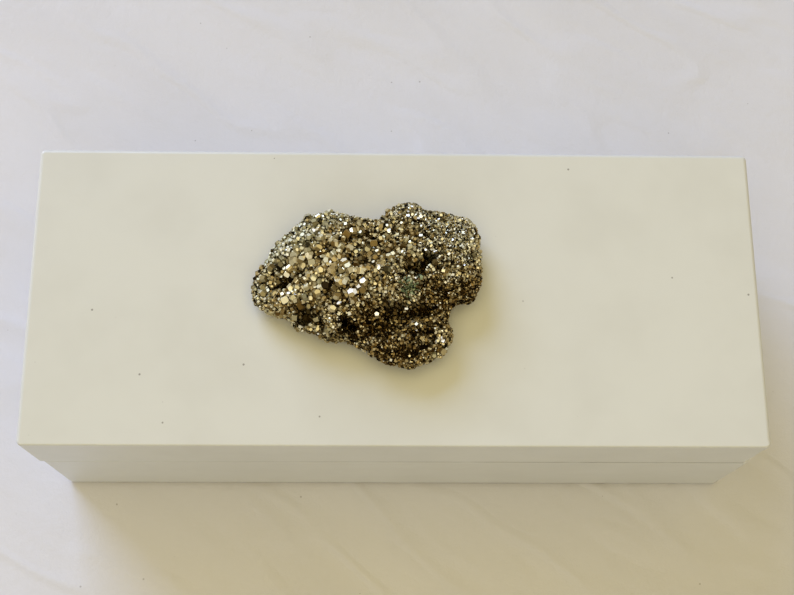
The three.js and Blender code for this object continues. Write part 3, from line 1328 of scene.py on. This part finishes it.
@dataclass
class PyriteCluster:
    """One natural aggregate of pyrite crystals, grown together over a dark matrix.

    Attributes:
        finish: The mineral's material.
        grid: The matrix's point spacing, in metres.
        skin: How far the matrix lies under the CAD surface, in metres.
        lumps: How high its lumps are.
        cracks: How deep its fine cracks are.
        smoothings: How often the matrix is smoothed to find its hollows.
        nugget: How the large crystals grow.
        grain: How the small ones grow.
        large_from: The least radius of a crystal that counts as large.
        radii: The least and the greatest radius of any crystal.
        spacing: How close two crystals may stand, as a share of their radii together.
        nestle: How much closer a small one may stand to a large one.
        tries: How many places for a crystal are tried.
        seed: Seeds every random draw.
        middling: How bright, silvery and coarse the ground is, and how likely a painted glint is,
        where no stretch differs.
        stretches: Where the cluster differs from that, with painted shade, painted reflection and
        painted glints among them.
        crevices: The deeper gaps between its lumps.
        glint_crystals: Where a crystal's upward face carries a painted glint, as shares of its length
            and depth.
        glint_crystal_radius: The least radius of such a crystal.
        green_at: Middle of the green crust, as shares of the cluster's length and depth.
        green_reach: How far the crust spreads.
        eased_from: The brightness from which a face's own brightness counts for less.
        eased_by: How much it counts from there.
        sparks: The share of the matrix's faces that catch the light.
    """

    finish: bpy.types.Material
    grid: float = 0.70 * MM
    skin: float = 1.30 * MM
    lumps: float = 1.45 * MM
    cracks: float = 2.0 * MM
    smoothings: int = 45
    nugget: Growth = Growth(
        radius=1.08 * MM,
        spread=0.30,
        habits=(0.36, 0.30, 0.14, 0.04, 0.16),
        drawn_out=0.14,
        proud=0.20,
        mottle=0.06,
        uneven=0.13,
        tarnish_and_shade=0.22,
        tarnish_and_shade_chance=0.06,
    )
    grain: Growth = Growth(
        radius=0.37 * MM,
        spread=0.27,
        habits=(0.10, 0.0, 0.0, 0.88, 0.02),
        drawn_out=0.42,
        proud=-0.05,
        mottle=0.08,
        uneven=0.21,
        tarnish_and_shade=0.05,
        tarnish_and_shade_chance=0.20,
        evened=0.2,
        shaded=0.11,
        tarnish_and_shade_where_dim=1.3,
        tarnish_and_shade_coarse=0.16,
    )
    large_from: float = 0.72 * MM
    radii: tuple[float, float] = (0.26 * MM, 1.7 * MM)
    spacing: float = 0.72
    nestle: float = 0.10
    tries: int = 190000
    seed: int = 7
    middling: tuple[float, float, float, float] = (0.54, 0.35, 0.09, 0.002)
    # Painted light and shade: the darker stretches along the front and the right paint shade on the
    # flanks turned from the window; the pale silvery ones along the back and the left paint the
    # window's reflection over a more silvery kind; those with glint paint glints.
    stretches: tuple[Stretch, ...] = (
        Stretch(0.20, 0.52, 12 * MM, bright=0.09, silver=-0.02, coarse=0.90),
        Stretch(0.34, 0.63, 11 * MM, bright=0.05, silver=-0.08, coarse=1.00),
        Stretch(0.44, 0.51, 10 * MM, bright=0.07, silver=-0.04, coarse=0.75),
        Stretch(0.56, 0.64, 9 * MM, bright=0.02, silver=-0.06, coarse=0.62),
        Stretch(0.68, 0.70, 6 * MM, bright=0.04, coarse=0.30),
        Stretch(0.25, 0.33, 8 * MM, bright=0.05, coarse=0.15),
        Stretch(0.05, 0.45, 5 * MM, bright=0.05, silver=0.30, coarse=0.15),
        Stretch(0.12, 0.67, 7 * MM, bright=0.06, silver=0.54, coarse=0.05),
        Stretch(0.22, 0.76, 7 * MM, bright=0.06, silver=0.54, coarse=0.10),
        Stretch(0.32, 0.90, 9 * MM, bright=0.09, silver=0.36, coarse=0.0),
        Stretch(0.70, 0.93, 9 * MM, bright=0.02, silver=0.16, coarse=-0.25),
        Stretch(0.88, 0.77, 13 * MM, bright=0.14, silver=0.14, coarse=-0.60),
        Stretch(0.95, 0.47, 9 * MM, bright=-0.16, silver=-0.28, coarse=-0.40),
        Stretch(0.62, 0.12, 14 * MM, bright=-0.24, silver=-0.28, coarse=-0.20),
        Stretch(0.48, 0.28, 11 * MM, bright=-0.09, silver=-0.22, coarse=-0.20),
        Stretch(0.80, 0.36, 11 * MM, bright=-0.15, silver=-0.28, coarse=-0.40),
        Stretch(0.43, 0.43, 7 * MM, glint=0.015, coarse=0.35),
        Stretch(0.29, 0.79, 3 * MM, glint=0.01, coarse=0.20),
        Stretch(0.16, 0.33, 4 * MM, glint=0.01, coarse=0.20),
        Stretch(0.70, 0.82, 4 * MM, glint=0.01, coarse=0.15),
        Stretch(0.67, 0.45, 6 * MM, coarse=-0.5),
    )
    crevices: tuple[Crevice, ...] = (
        Crevice((0.10, 0.46), (0.15, 0.50), 1.7 * MM, 3.3 * MM),
        Crevice((0.17, 0.51), (0.24, 0.55), 1.3 * MM, 2.2 * MM),
        Crevice((0.33, 0.53), (0.35, 0.51), 1.4 * MM, 2.0 * MM),
        Crevice((0.42, 0.60), (0.45, 0.63), 1.5 * MM, 2.4 * MM),
        Crevice((0.49, 0.59), (0.52, 0.55), 1.6 * MM, 2.9 * MM),
        Crevice((0.43, 0.72), (0.49, 0.75), 1.6 * MM, 2.8 * MM),
        Crevice((0.49, 0.75), (0.56, 0.71), 1.4 * MM, 2.8 * MM),
        Crevice((0.29, 0.82), (0.31, 0.83), 1.4 * MM, 2.4 * MM),
        Crevice((0.25, 0.73), (0.26, 0.68), 1.2 * MM, 1.8 * MM),
        Crevice((0.69, 0.56), (0.74, 0.52), 1.5 * MM, 2.6 * MM),
        Crevice((0.73, 0.63), (0.78, 0.61), 1.7 * MM, 3.3 * MM),
        Crevice((0.76, 0.48), (0.78, 0.48), 1.2 * MM, 2.0 * MM),
        Crevice((0.56, 0.37), (0.64, 0.35), 1.9 * MM, 3.3 * MM),
        Crevice((0.30, 0.30), (0.32, 0.20), 1.5 * MM, 3.3 * MM),
        Crevice((0.25, 0.38), (0.28, 0.34), 1.2 * MM, 2.0 * MM),
        Crevice((0.36, 0.19), (0.47, 0.22), 1.2 * MM, 2.4 * MM),
        Crevice((0.48, 0.16), (0.52, 0.21), 1.7 * MM, 3.1 * MM),
        Crevice((0.66, 0.21), (0.77, 0.20), 1.9 * MM, 2.8 * MM),
        Crevice((0.71, 0.10), (0.77, 0.14), 1.4 * MM, 2.4 * MM),
        Crevice((0.83, 0.14), (0.85, 0.19), 1.3 * MM, 2.0 * MM),
        Crevice((0.80, 0.39), (0.84, 0.41), 1.3 * MM, 2.0 * MM),
    )
    # Crystals whose upward face is painted near-white, as a painted glint.
    glint_crystals: tuple[tuple[float, float], ...] = (
        (0.38, 0.45),
        (0.40, 0.41),
        (0.44, 0.39),
        (0.46, 0.41),
        (0.48, 0.46),
        (0.16, 0.32),
        (0.29, 0.77),
        (0.71, 0.83),
        (0.55, 0.52),
        (0.54, 0.29),
        (0.59, 0.78),
    )
    glint_crystal_radius: float = 1.10 * MM
    green_at: tuple[float, float] = (0.68, 0.435)
    green_reach: float = 3.7 * MM
    eased_from: float = 0.79
    eased_by: float = 0.45
    sparks: float = 0.015

    def _matrix(self) -> bpy.types.Object:
        """The lumpy matrix that the crystals grow from, set a little inside the CAD solid.

        Returns:
            The matrix.
        """
        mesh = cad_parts["pyrite_cluster"].data.copy()
        mesh.name = "pyrite_matrix"
        piece = new_piece("pyrite_matrix", mesh)
        even = piece.modifiers.new("Even points", "REMESH")
        even.mode = "VOXEL"
        even.voxel_size = self.grid
        soft = piece.modifiers.new("Soft", "SMOOTH")
        soft.factor = 0.5
        soft.iterations = 3
        baked_mesh(piece)
        spots = points_of(piece)
        outward = outward_of(piece)
        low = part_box("pyrite_cluster")[0]
        sunk = np.array([self._sunk(Vector(spot)) for spot in spots])
        gaps = self._gaps(spots) * np.clip(outward[:, 2] + 0.4, 0.0, 1.0)
        rest = np.clip((spots[:, 2] - low.z) / (1.5 * MM), 0.0, 1.0)
        moved = spots - outward * (sunk * (0.4 + 0.6 * rest))[:, None]
        moved[:, 2] -= gaps * rest
        moved[:, 2] = moved[:, 2].clip(low.z, None)
        move_points(piece, moved)
        return piece

    def _gaps(self, spots: np.ndarray) -> np.ndarray:
        """How deep the crevices run at each spot, in metres."""
        shares, span = self._shares(spots), self._span()
        return sum(crevice.depth_at(shares, span) for crevice in self.crevices)

    def _sunk(self, spot: Vector) -> float:
        """Works out how far the matrix lies under the CAD surface.

        Args:
            spot: The place on that surface.

        Returns:
            The depth there, in metres, with lumps and fine cracks.
        """
        lump = noise.noise(spot * 140) + 0.7 * noise.noise(spot * 310 + Vector((3, 1, 7)))
        from_crack = abs(noise.noise(spot * 100 + Vector((9, 4, 2))))
        crack = max(0.0, 1 - from_crack / 0.08)
        return self.skin + self.lumps * lump + self.cracks * crack * crack

    def _hollow(self, matrix: bpy.types.Object) -> np.ndarray:
        """Compares the matrix with a much smoother copy of itself.

        Args:
            matrix: The matrix.

        Returns:
            How far each point lies in a hollow, in metres, or less than 0 on a lump.
        """
        mesh = matrix.data
        edges = np.empty(len(mesh.edges) * 2, np.int32)
        mesh.edges.foreach_get("vertices", edges)
        one, other = edges.reshape(-1, 2).T
        spots = points_of(matrix)
        count = np.bincount(edges, minlength=len(spots))[:, None]
        even = spots.copy()
        for _ in range(self.smoothings):
            total = np.zeros_like(even)
            for axis in range(3):
                total[:, axis] += np.bincount(one, even[other, axis], len(spots))
                total[:, axis] += np.bincount(other, even[one, axis], len(spots))
            even = total / np.maximum(count, 1)
        return ((even - spots) * outward_of(matrix)).sum(1)

    def _shares(self, spots: np.ndarray) -> np.ndarray:
        """Places over the cluster's length and depth, from 0 to 1, one row a spot."""
        return (spots[:, :2] - np.array(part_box("pyrite_cluster")[0])[:2]) / self._span()

    def _span(self) -> np.ndarray:
        """The cluster's length and depth, in metres."""
        low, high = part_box("pyrite_cluster")
        return np.array(high - low)[:2]

    def _look(self, spots: np.ndarray) -> tuple[np.ndarray, np.ndarray, np.ndarray, np.ndarray]:
        """What the crystals are like at each spot.

        Args:
            spots: One row a spot, in metres.

        Returns:
            How bright and silvery they are, how coarse they are, and how likely a painted glint is.
        """
        shares = self._shares(spots)
        bright, silver, coarse, glint = (np.full(len(spots), value) for value in self.middling)
        for stretch in self.stretches:
            off = (shares - (stretch.across, stretch.along)) * self._span()
            near = np.exp(-(off**2).sum(1) / (2 * (0.6 * stretch.reach) ** 2))
            bright += stretch.bright * near
            silver += stretch.silver * near
            coarse += stretch.coarse * near
            glint += stretch.glint * near
        drift = np.array([noise.noise(Vector(s) * 120) for s in spots])
        return bright + 0.06 * drift, silver + 0.12 * drift, coarse, glint

    def _by_size(self, large: np.ndarray, name: str) -> np.ndarray:
        """One value a crystal, from the growth of the large ones or of the small ones."""
        return np.where(large, getattr(self.nugget, name), getattr(self.grain, name))

    def _places(
        self, matrix: bpy.types.Object, draw: np.random.Generator
    ) -> tuple[np.ndarray, np.ndarray, np.ndarray, float]:
        """Scatters places for crystals evenly over the ground that may show.

        Args:
            matrix: The matrix that they grow from.
            draw: Where random numbers come from.

        Returns:
            Each place, its outward direction and how hollow it is, and the area of the ground.
        """
        mesh = matrix.data
        mesh.calc_loop_triangles()
        corners = np.empty(len(mesh.loop_triangles) * 3, np.int32)
        mesh.loop_triangles.foreach_get("vertices", corners)
        corners = corners.reshape(-1, 3)
        trios = points_of(matrix)[corners]
        facing = np.cross(trios[:, 1] - trios[:, 0], trios[:, 2] - trios[:, 0])
        area = np.linalg.norm(facing, axis=1)
        facing /= np.maximum(area, 1e-15)[:, None]
        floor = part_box("pyrite_cluster")[0].z
        hidden = (facing[:, 2] < -0.6) & (trios[:, :, 2].mean(1) < floor + 1.2 * MM)
        chance = np.where(hidden, 0.0, area)
        picked = draw.choice(len(trios), self.tries, p=chance / chance.sum())
        weights = draw.dirichlet((1, 1, 1), len(picked))
        feet = (trios[picked] * weights[:, :, None]).sum(1)
        hollow = (self._hollow(matrix)[corners[picked]] * weights).sum(1)
        # Crevices count as hollow here, so that crystals in them take painted shade.
        hollow = hollow + 0.6 * self._gaps(feet)
        return feet, facing[picked], hollow, chance.sum() / 2

    def _seeds(
        self, matrix: bpy.types.Object, draw: np.random.Generator
    ) -> tuple[np.ndarray, np.ndarray, np.ndarray, np.ndarray]:
        """Chooses where crystals grow, the larger ones first and smaller ones between them.

        Args:
            matrix: The matrix that they grow from.
            draw: Where random numbers come from.

        Returns:
            Each crystal's foot, its outward direction, its radius and how hollow the place is.
        """
        feet, outward, hollow, ground = self._places(matrix, draw)
        coarse = self._look(feet)[2]
        room = ground / (np.pi * self.nugget.radius**2)
        wanted = (coarse + 0.6 * coarse * coarse).clip(0.0, 3.0) * room / self.tries
        open_ground = self._gaps(feet) / MM < 0.9
        large = draw.uniform(size=len(feet)) < wanted * open_ground
        spread = np.exp(draw.normal(0, 1, len(feet)) * self._by_size(large, "spread"))
        small = self.grain.radius * (1 + 0.6 * coarse.clip(-0.5, 0.3))
        radius = (np.where(large, self.nugget.radius, small) * spread).clip(*self.radii)
        tree = kdtree.KDTree(len(feet))
        for k, foot in enumerate(feet):
            tree.insert(foot, k)
        tree.balance()
        free = np.ones(len(feet), bool)
        kept = []
        for k in np.argsort(-radius * draw.uniform(0.8, 1.2, len(feet))):
            if not free[k]:
                continue
            kept.append(k)
            for _, other, distance in tree.find_range(feet[k], 2 * self.spacing * radius[k]):
                spacing = self.spacing if large[k] == large[other] else self.spacing - self.nestle
                if distance < spacing * (radius[k] + radius[other]):
                    free[other] = False
        return feet[kept], outward[kept], radius[kept], hollow[kept]

    def _turned(self, count: int, drawn_out: float, draw: np.random.Generator) -> np.ndarray:
        """Turns crystals at random, and draws each out along its own axes.

        Args:
            count: How many crystals there are.
            drawn_out: The share by which each may be drawn out or squashed.
            draw: Where random numbers come from.

        Returns:
            One matrix a crystal.
        """
        turns = draw.normal(size=(count, 4))
        turns /= np.linalg.norm(turns, axis=1, keepdims=True)
        made = np.array([np.array(Quaternion(turn).to_matrix()) for turn in turns])
        stretch = draw.uniform(1 - drawn_out, 1 + drawn_out, (count, 1, 3))
        return made * stretch

    def _crusted(
        self, feet: np.ndarray, outward: np.ndarray, draw: np.random.Generator
    ) -> np.ndarray:
        """Picks the crystals under the green crust, whose rim is ragged.

        Args:
            feet: Where the crystals grow from.
            outward: The directions that they grow in.
            draw: Where random numbers come from.

        Returns:
            For each crystal whether it is green.
        """
        off = (self._shares(feet) - self.green_at) * self._span()
        ragged = self.green_reach * (0.85 + 0.3 * draw.normal(size=len(feet)))
        return (np.linalg.norm(off, axis=1) < ragged) & (outward[:, 2] > 0.1)

    def _pick_glint_crystals(self, feet: np.ndarray, outward: np.ndarray, radius: np.ndarray) -> np.ndarray:
        """Picks the fit crystal nearest to each spot listed for a painted glint.

        Args:
            feet: Where the crystals grow from.
            outward: The directions that they grow in.
            radius: Their radii.

        Returns:
            For each crystal whether its upward face carries a painted glint.
        """
        fit = (outward[:, 2] > 0.3) & (radius > 0.5 * MM)
        glint_crystals = np.zeros(len(feet), bool)
        for spot in self.glint_crystals:
            away = np.linalg.norm((self._shares(feet) - spot) * self._span(), axis=1)
            glint_crystals[np.where(fit, away, 1.0).argmin()] = True
        return glint_crystals

    def _brightness(
        self,
        bright: np.ndarray,
        coarse: np.ndarray,
        hollow: np.ndarray,
        large: np.ndarray,
        draw: np.random.Generator,
    ) -> np.ndarray:
        """Works out how bright each crystal is, before the green crust.

        Args:
            bright: How bright its place is.
            coarse: How coarse its place is.
            hollow: How hollow its place is, in metres.
            large: Whether it is large.
            draw: Where random numbers come from.

        Returns:
            The brightness of each, from 0 to 1.
        """
        coarse = coarse.clip(0.0, 1.0)
        bright = bright + draw.normal(0, 1, len(bright)) * self._by_size(large, "mottle")
        # Painted shade: crystals are darker in hollows and crevices and lighter on lumps, and small
        # ones darker among the large ones.
        bright -= 0.15 * np.clip(hollow / MM, -0.6, 1.6)
        bright = bright - self._by_size(large, "shaded") * coarse
        # Some crystals are made dark: partly tarnish at random, partly painted shade, likelier in
        # coarse ground between the large crystals and where the place is already darker.
        tarnish_and_shade = self._by_size(large, "tarnish_and_shade_chance") + self._by_size(large, "tarnish_and_shade_coarse") * coarse
        tarnish_and_shade = tarnish_and_shade + self._by_size(large, "tarnish_and_shade_where_dim") * (0.50 - bright).clip(0.0, 0.25)
        return np.where(draw.uniform(size=len(bright)) < tarnish_and_shade, self._by_size(large, "tarnish_and_shade"), bright)

    def _crystals(
        self, matrix: bpy.types.Object, draw: np.random.Generator
    ) -> tuple[list[tuple], list[tuple]]:
        """Grows the crystals and drops the faces that lie inside the matrix.

        Args:
            matrix: The matrix that they grow from.
            draw: Where random numbers come from.

        Returns:
            The faces of the large crystals and of the small ones. Each is a list of groups, with
            their corners and how bright and of which kind they are.
        """
        feet, outward, radius, hollow = self._seeds(matrix, draw)
        bright, silver, coarse, glint = self._look(feet)
        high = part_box("pyrite_cluster")[1]
        lid_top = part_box("lid_top_panel")[1].z
        green = self._crusted(feet, outward, draw)
        large = radius > self.large_from
        bright = self._brightness(bright, coarse, hollow, large, draw)
        bright = np.where(green, bright + 0.12, bright)
        silver = silver + draw.normal(0, 0.12, len(feet))
        glint_crystals = self._pick_glint_crystals(feet, outward, radius)
        radius = np.where(glint_crystals, radius.clip(self.glint_crystal_radius, None), radius)
        proud = self._by_size(large, "proud") + 0.40 * glint_crystals
        out = radius * (proud + draw.uniform(-0.25, 0.25, len(feet)))
        middles = feet + outward * out[:, None]
        chances = np.where(large[:, None], self.nugget.habits, self.grain.habits)
        passed = draw.uniform(size=(len(feet), 1)) > np.cumsum(chances, axis=1)
        pick = passed.sum(1).clip(0, len(Habit) - 1)
        lots: dict[bool, list] = {True: [], False: []}
        for which, habit in enumerate(Habit):
            shape, sides = habit.faces()
            for big, growth in ((True, self.nugget), (False, self.grain)):
                chosen = np.flatnonzero((pick == which) & (large == big))
                if not len(chosen):
                    continue
                turned = self._turned(len(chosen), growth.drawn_out, draw)
                placed = np.einsum("nij,vj->nvi", turned, shape)
                placed = placed * radius[chosen, None, None] + middles[chosen][:, None]
                placed[:, :, 2] = placed[:, :, 2].clip(lid_top + 0.03 * MM, high.z)
                for side in sides:
                    ring = placed[:, side]
                    facing = np.cross(ring[:, 1] - ring[:, 0], ring[:, 2] - ring[:, 1])
                    facing /= np.maximum(np.linalg.norm(facing, axis=1, keepdims=True), 1e-15)
                    above = ((ring - feet[chosen][:, None]) * outward[chosen][:, None]).sum(2).max(1)
                    turned_in = (facing * outward[chosen]).sum(1) < -0.2
                    shown = np.flatnonzero((above > 0.08 * radius[chosen]) & ~turned_in)
                    ring, owner, facing = ring[shown], chosen[shown], facing[shown]
                    uneven = growth.uneven * (1 - growth.evened * coarse[owner].clip(0.0, 1.0))
                    varied = draw.normal(0, 1, len(owner)) * uneven
                    # Painted shade: faces turned away from the crystal's outward direction are darker,
                    # those facing out lighter.
                    flank_shade = (facing * outward[owner]).sum(1) - 0.70
                    tone = bright[owner] + varied + 0.34 * flank_shade.clip(-0.6, 0.3)
                    eased = self.eased_from + self.eased_by * (tone - self.eased_from)
                    tone = np.minimum(tone, eased)
                    # Painted glints: a few faces at random are made near-white.
                    glint_faces = draw.uniform(size=len(owner)) < glint[owner]
                    tone = np.where(glint_faces, draw.uniform(0.86, 1.0, len(owner)), tone)
                    # Painted glint: the upward faces of the listed crystals are made near-white.
                    tone = np.where(glint_crystals[owner] & (facing[:, 2] > 0.62), 0.99, tone)
                    shift = draw.normal(0, 0.05, len(owner))
                    kind = np.where(green[owner], 2.0, silver[owner] + shift)
                    lots[big].append((ring, tone, kind))
        log.info("pyrite: %d crystals, of which %d are large", len(feet), large.sum())
        return lots[True], lots[False]

    def _joined(self, name: str, lot: Sequence[tuple]) -> bpy.types.Object:
        """Makes one piece of many faces, and lays each on the map.

        Args:
            name: The piece's name.
            lot: Groups of faces, each with their corners and how bright and of which kind they are.

        Returns:
            The piece.
        """
        points, faces, count = [], [], 0
        for ring, _, _ in lot:
            number, width = ring.shape[:2]
            faces.extend((np.arange(number * width).reshape(-1, width) + count).tolist())
            points.append(ring.reshape(-1, 3))
            count += number * width
        piece = mesh_piece(name, np.concatenate(points), faces)
        tone = np.concatenate([tone for _, tone, _ in lot]).clip(0.02, 0.98)
        kind = np.concatenate([kind for _, _, kind in lot])
        self._lay_map(piece, tone, np.where(kind > 1.5, 0.95, kind.clip(0.03, 0.80)))
        return piece

    def _lay_map(self, piece: bpy.types.Object, tone: np.ndarray, kind: np.ndarray) -> None:
        """Lays each face on the map at its brightness and kind, as a small ring.

        Args:
            piece: The piece.
            tone: How bright each face is, from 0 to 1.
            kind: How silvery or green each face is, from 0 to 1.
        """
        mesh = piece.data
        layer = mesh.uv_layers.new(name=BAKE_MAP, do_init=False)
        counts = np.empty(len(mesh.polygons), np.int32)
        mesh.polygons.foreach_get("loop_total", counts)
        first = np.concatenate([[0], np.cumsum(counts)[:-1]])
        face = np.repeat(np.arange(len(counts)), counts)
        turn = 2 * np.pi * (np.arange(counts.sum()) - first[face]) / counts[face]
        ring = np.stack([np.cos(turn), np.sin(turn)], 1) * 0.0035
        spots = np.stack([tone, kind], 1)[face] + ring
        layer.uv.foreach_set("vector", spots.astype(np.float32).ravel())

    def build(self) -> list[bpy.types.Object]:
        """Builds and dresses the matrix and its crystals.

        Returns:
            The three pieces.
        """
        draw = np.random.default_rng(self.seed)
        matrix = self._matrix()
        large, small = self._crystals(matrix, draw)
        nuggets = self._joined("pyrite_nuggets", large)
        druse = self._joined("pyrite_druse", small)
        corners = np.empty(len(matrix.data.loops), np.int32)
        matrix.data.loops.foreach_get("vertex_index", corners)
        hollow = self._hollow(matrix)[corners.reshape(-1, 4)].mean(1) / MM
        # Painted shade: the matrix is darker in its hollows and lighter on its lumps.
        shade = 0.13 - 0.10 * hollow.clip(-0.5, 1.5) + draw.normal(0, 0.05, len(hollow))
        sparks = draw.uniform(size=len(hollow)) < self.sparks
        shade = np.where(sparks, draw.uniform(0.30, 0.90, len(hollow)), shade.clip(0.02, 0.40))
        self._lay_map(matrix, shade, draw.uniform(0.03, 0.80, len(hollow)))
        for piece in (matrix, nuggets, druse):
            hand_over(piece, self.finish, Slot.PYRITE, Half.LID, "pyrite_cluster")
        return [matrix, nuggets, druse]


# ---------------------------------------------------------------------------------------------
# Box, stage and camera
# ---------------------------------------------------------------------------------------------


@dataclass
class KeepsakeBox:
    """The whole box: its lacquered base and lid, its linings, and the mineral on top.

    Attributes:
        corner: Radius of the upright corners, in metres.
    """

    corner: float = 2.4 * MM

    def build_base(self) -> None:
        """Builds the base's walls, its bottom and the felt under it."""
        walls = ("base_front_wall", "base_right_wall", "base_back_wall", "base_left_wall")
        low, high = box_of(*walls)
        # The base's lacquer paints shade along its lower edge, where it meets the floor.
        lacquer = WhiteLacquer("white_lacquer_base", low, high, edge_shade_ends=(0.7, 0.8)).material()
        boards = tuple(name + "_board" for name in walls)
        eases = {"ease_top": 1.1 * MM, "ease_bottom": 0.9 * MM, "ease_inside": 0.3 * MM}
        BoardFrame(walls, boards, Half.BASE, Slot.LACQUER, lacquer, self.corner, **eases).build()
        dress_node("base_bottom_panel", lacquer)
        UndersideFelt(WoolFelt("wool_felt").material()).build()

    def build_neck(self) -> None:
        """Builds the velvet-wrapped boards that locate the lid."""
        boards = ("neck_front_board", "neck_right_board", "neck_back_board", "neck_left_board")
        wrapped = tuple(name.replace("board", "wrap") for name in boards)
        velvet = CutVelvet("neck_velvet", crush=0.03).material()
        eases = {"ease_top": 0.8 * MM, "ease_bottom": 0.1 * MM, "ease_inside": 0.8 * MM}
        BoardFrame(boards, wrapped, Half.BASE, Slot.NECK_VELVET, velvet, 0.8 * MM, **eases).build()

    def build_lid(self) -> None:
        """Builds the lid's panel and rails."""
        rails = ("lid_front_rail", "lid_right_rail", "lid_back_rail", "lid_left_rail")
        low, high = box_of("lid_top_panel", *rails)
        # The lid's lacquer paints the seam's shadow along its lower edge, stronger towards the right
        # end.
        lacquer = WhiteLacquer("white_lacquer_lid", low, high, edge_shade_ends=(0.0, 1.2)).material()
        boards = tuple(name + "_board" for name in rails)
        eases = {"ease_top": 0.0, "ease_bottom": 0.35 * MM, "ease_inside": 0.3 * MM}
        BoardFrame(rails, boards, Half.LID, Slot.LACQUER, lacquer, self.corner, **eases).build()
        LidPanel(lacquer, self.corner).build()

    def build_linings(self) -> None:
        """Builds the velvet pads on their cards."""
        card = GreyCard("grey_card").material()
        velvet = CutVelvet("pad_velvet").material()
        dress_node("floor_lining_card", card)
        dress_node("lid_lining_card", card)
        LiningPad("floor_lining_pad", "floor_velvet_pad", Half.BASE, velvet, True).build()
        LiningPad("lid_lining_pad", "lid_velvet_pad", Half.LID, velvet, False, rise=0.9 * MM).build()

    def build_mineral(self) -> None:
        """Builds the pyrite cluster on its bed of resin."""
        dress_node("adhesive_bed", ClearResin("clear_resin").material())
        PyriteCluster(TarnishedPyrite("tarnished_pyrite").material()).build()


@dataclass(frozen=True)
class SoftLight:
    """One flat, soft light that faces the box.

    Attributes:
        name: Its name.
        at: Where it hangs, in metres.
        size: How wide and high it is, in metres.
        watts: How much light it gives.
        tint: Its colour.
    """

    name: str
    at: tuple[float, float, float]
    size: tuple[float, float]
    watts: float
    tint: Colour

    def hang(self) -> None:
        """Puts the light up, aimed at the middle of the table."""
        lamp = bpy.data.lights.new(self.name, "AREA")
        lamp.shape = "RECTANGLE"
        lamp.size, lamp.size_y = self.size
        lamp.energy = self.watts
        lamp.color = self.tint
        panel = bpy.data.objects.new(self.name, lamp)
        panel.location = self.at
        panel.rotation_euler = (-Vector(self.at)).to_track_quat("-Z", "Y").to_euler()
        bpy.context.scene.collection.objects.link(panel)


@dataclass
class Stage:
    """The paper, the window light, the room's warm light and the camera.

    Attributes:
        paper_width: How wide the paper is, in metres.
        paper_gap: How far it lies under the felt, so that the two don't share a plane.
        lights: The window, the warm ceiling light, the doorway on the near side, and a low pale
            wall that gives daylight back on the left.
        room: The colour and strength of the room's light.
        backdrop: The colour seen behind the box and mirrored in metal.
        aim_shift: How far beside the middle of the lid's top the camera aims.
        camera_offset: From there to the camera.
        roll: How far the camera leans over, in degrees.
        lens: Its focal length, in millimetres, over a 36 mm frame.
    """

    paper_width: float = 6.0
    paper_gap: float = 0.02 * MM
    lights: tuple[SoftLight, ...] = (
        SoftLight("window", (-1.96, 3.27, 2.40), (2.8, 2.2), 201.0, (0.44, 0.575, 0.97)),
        SoftLight("ceiling", (0.05, -0.30, 1.80), (2.6, 2.6), 21.0, (1.0, 0.84, 0.36)),
        SoftLight("doorway", (-0.3, -2.5, 1.25), (3.2, 1.8), 17.5, (0.66, 0.74, 1.0)),
        SoftLight("skirting", (-0.58, 0.22, 0.09), (0.6, 0.10), 0.48, (0.92, 0.88, 1.0)),
    )
    room: Colour = (0.238, 0.212, 0.150)
    backdrop: Colour = (0.93, 0.92, 0.90)
    aim_shift: tuple[float, float] = (0.0004, -0.0015)
    camera_offset: tuple[float, float, float] = (-0.01387, -0.15923, 0.51660)
    roll: float = 5.107
    lens: float = 58.83

    def lay_paper(self) -> None:
        """Lays the sheet of paper under the box."""
        reach = self.paper_width / 2
        ends = [-reach, -0.6, -0.3, 0.0, 0.3, 0.6, reach]
        points = [(x, y, -self.paper_gap) for x in ends for y in ends]
        count = len(ends)
        faces = []
        for i in range(count - 1):
            for j in range(count - 1):
                a = i * count + j
                faces.append([a, a + count, a + count + 1, a + 1])
        paper = mesh_piece("paper", np.array(points), faces)
        paper.data.materials.append(SheetOfPaper("white_paper").material())

    def hang_lights(self) -> None:
        """Puts up the window and the softer lights, and fills the room with light."""
        for light in self.lights:
            light.hang()
        world = bpy.data.worlds.new("room")
        bpy.context.scene.world = world
        tree = ShaderTree(world)
        seen = tree.node("ShaderNodeLightPath", output="Is Camera Ray")
        straight = seen.most(seen.also("Is Glossy Ray")).most(seen.also("Is Transmission Ray"))
        warm = tree.node("ShaderNodeBackground", values={"Color": self.room})
        pale = tree.node("ShaderNodeBackground", values={"Color": self.backdrop})
        mixed = tree.node("ShaderNodeMixShader", values={0: straight, 1: warm, 2: pale})
        tree.node("ShaderNodeOutputWorld", values={"Surface": mixed})

    def place_camera(self) -> None:
        """Stands the camera over the lid."""
        low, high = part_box("lid_top_panel")
        middle = (low + high) / 2
        aim = Vector((middle.x + self.aim_shift[0], middle.y + self.aim_shift[1], high.z))
        data = bpy.data.cameras.new("camera")
        data.lens = self.lens
        data.sensor_width = 36.0
        data.clip_start = 0.01
        camera = bpy.data.objects.new("camera", data)
        offset = Vector(self.camera_offset)
        camera.location = aim + offset
        level = (-offset).to_track_quat("-Z", "Y")
        lean = Quaternion((0.0, 0.0, 1.0), math.radians(self.roll))
        camera.rotation_mode = "QUATERNION"
        camera.rotation_quaternion = level @ lean
        bpy.context.scene.collection.objects.link(camera)
        bpy.context.scene.camera = camera
        bpy.context.scene.view_settings.view_transform = "Standard"


def main() -> None:
    """Builds the stage and every piece of the box in order."""
    logging.basicConfig(level=logging.INFO, format="%(name)s: %(message)s")
    stage = Stage()
    stage.place_camera()
    stage.lay_paper()
    stage.hang_lights()
    box = KeepsakeBox()
    box.build_base()
    box.build_neck()
    box.build_lid()
    box.build_linings()
    box.build_mineral()


if __name__ == "__main__":
    main()
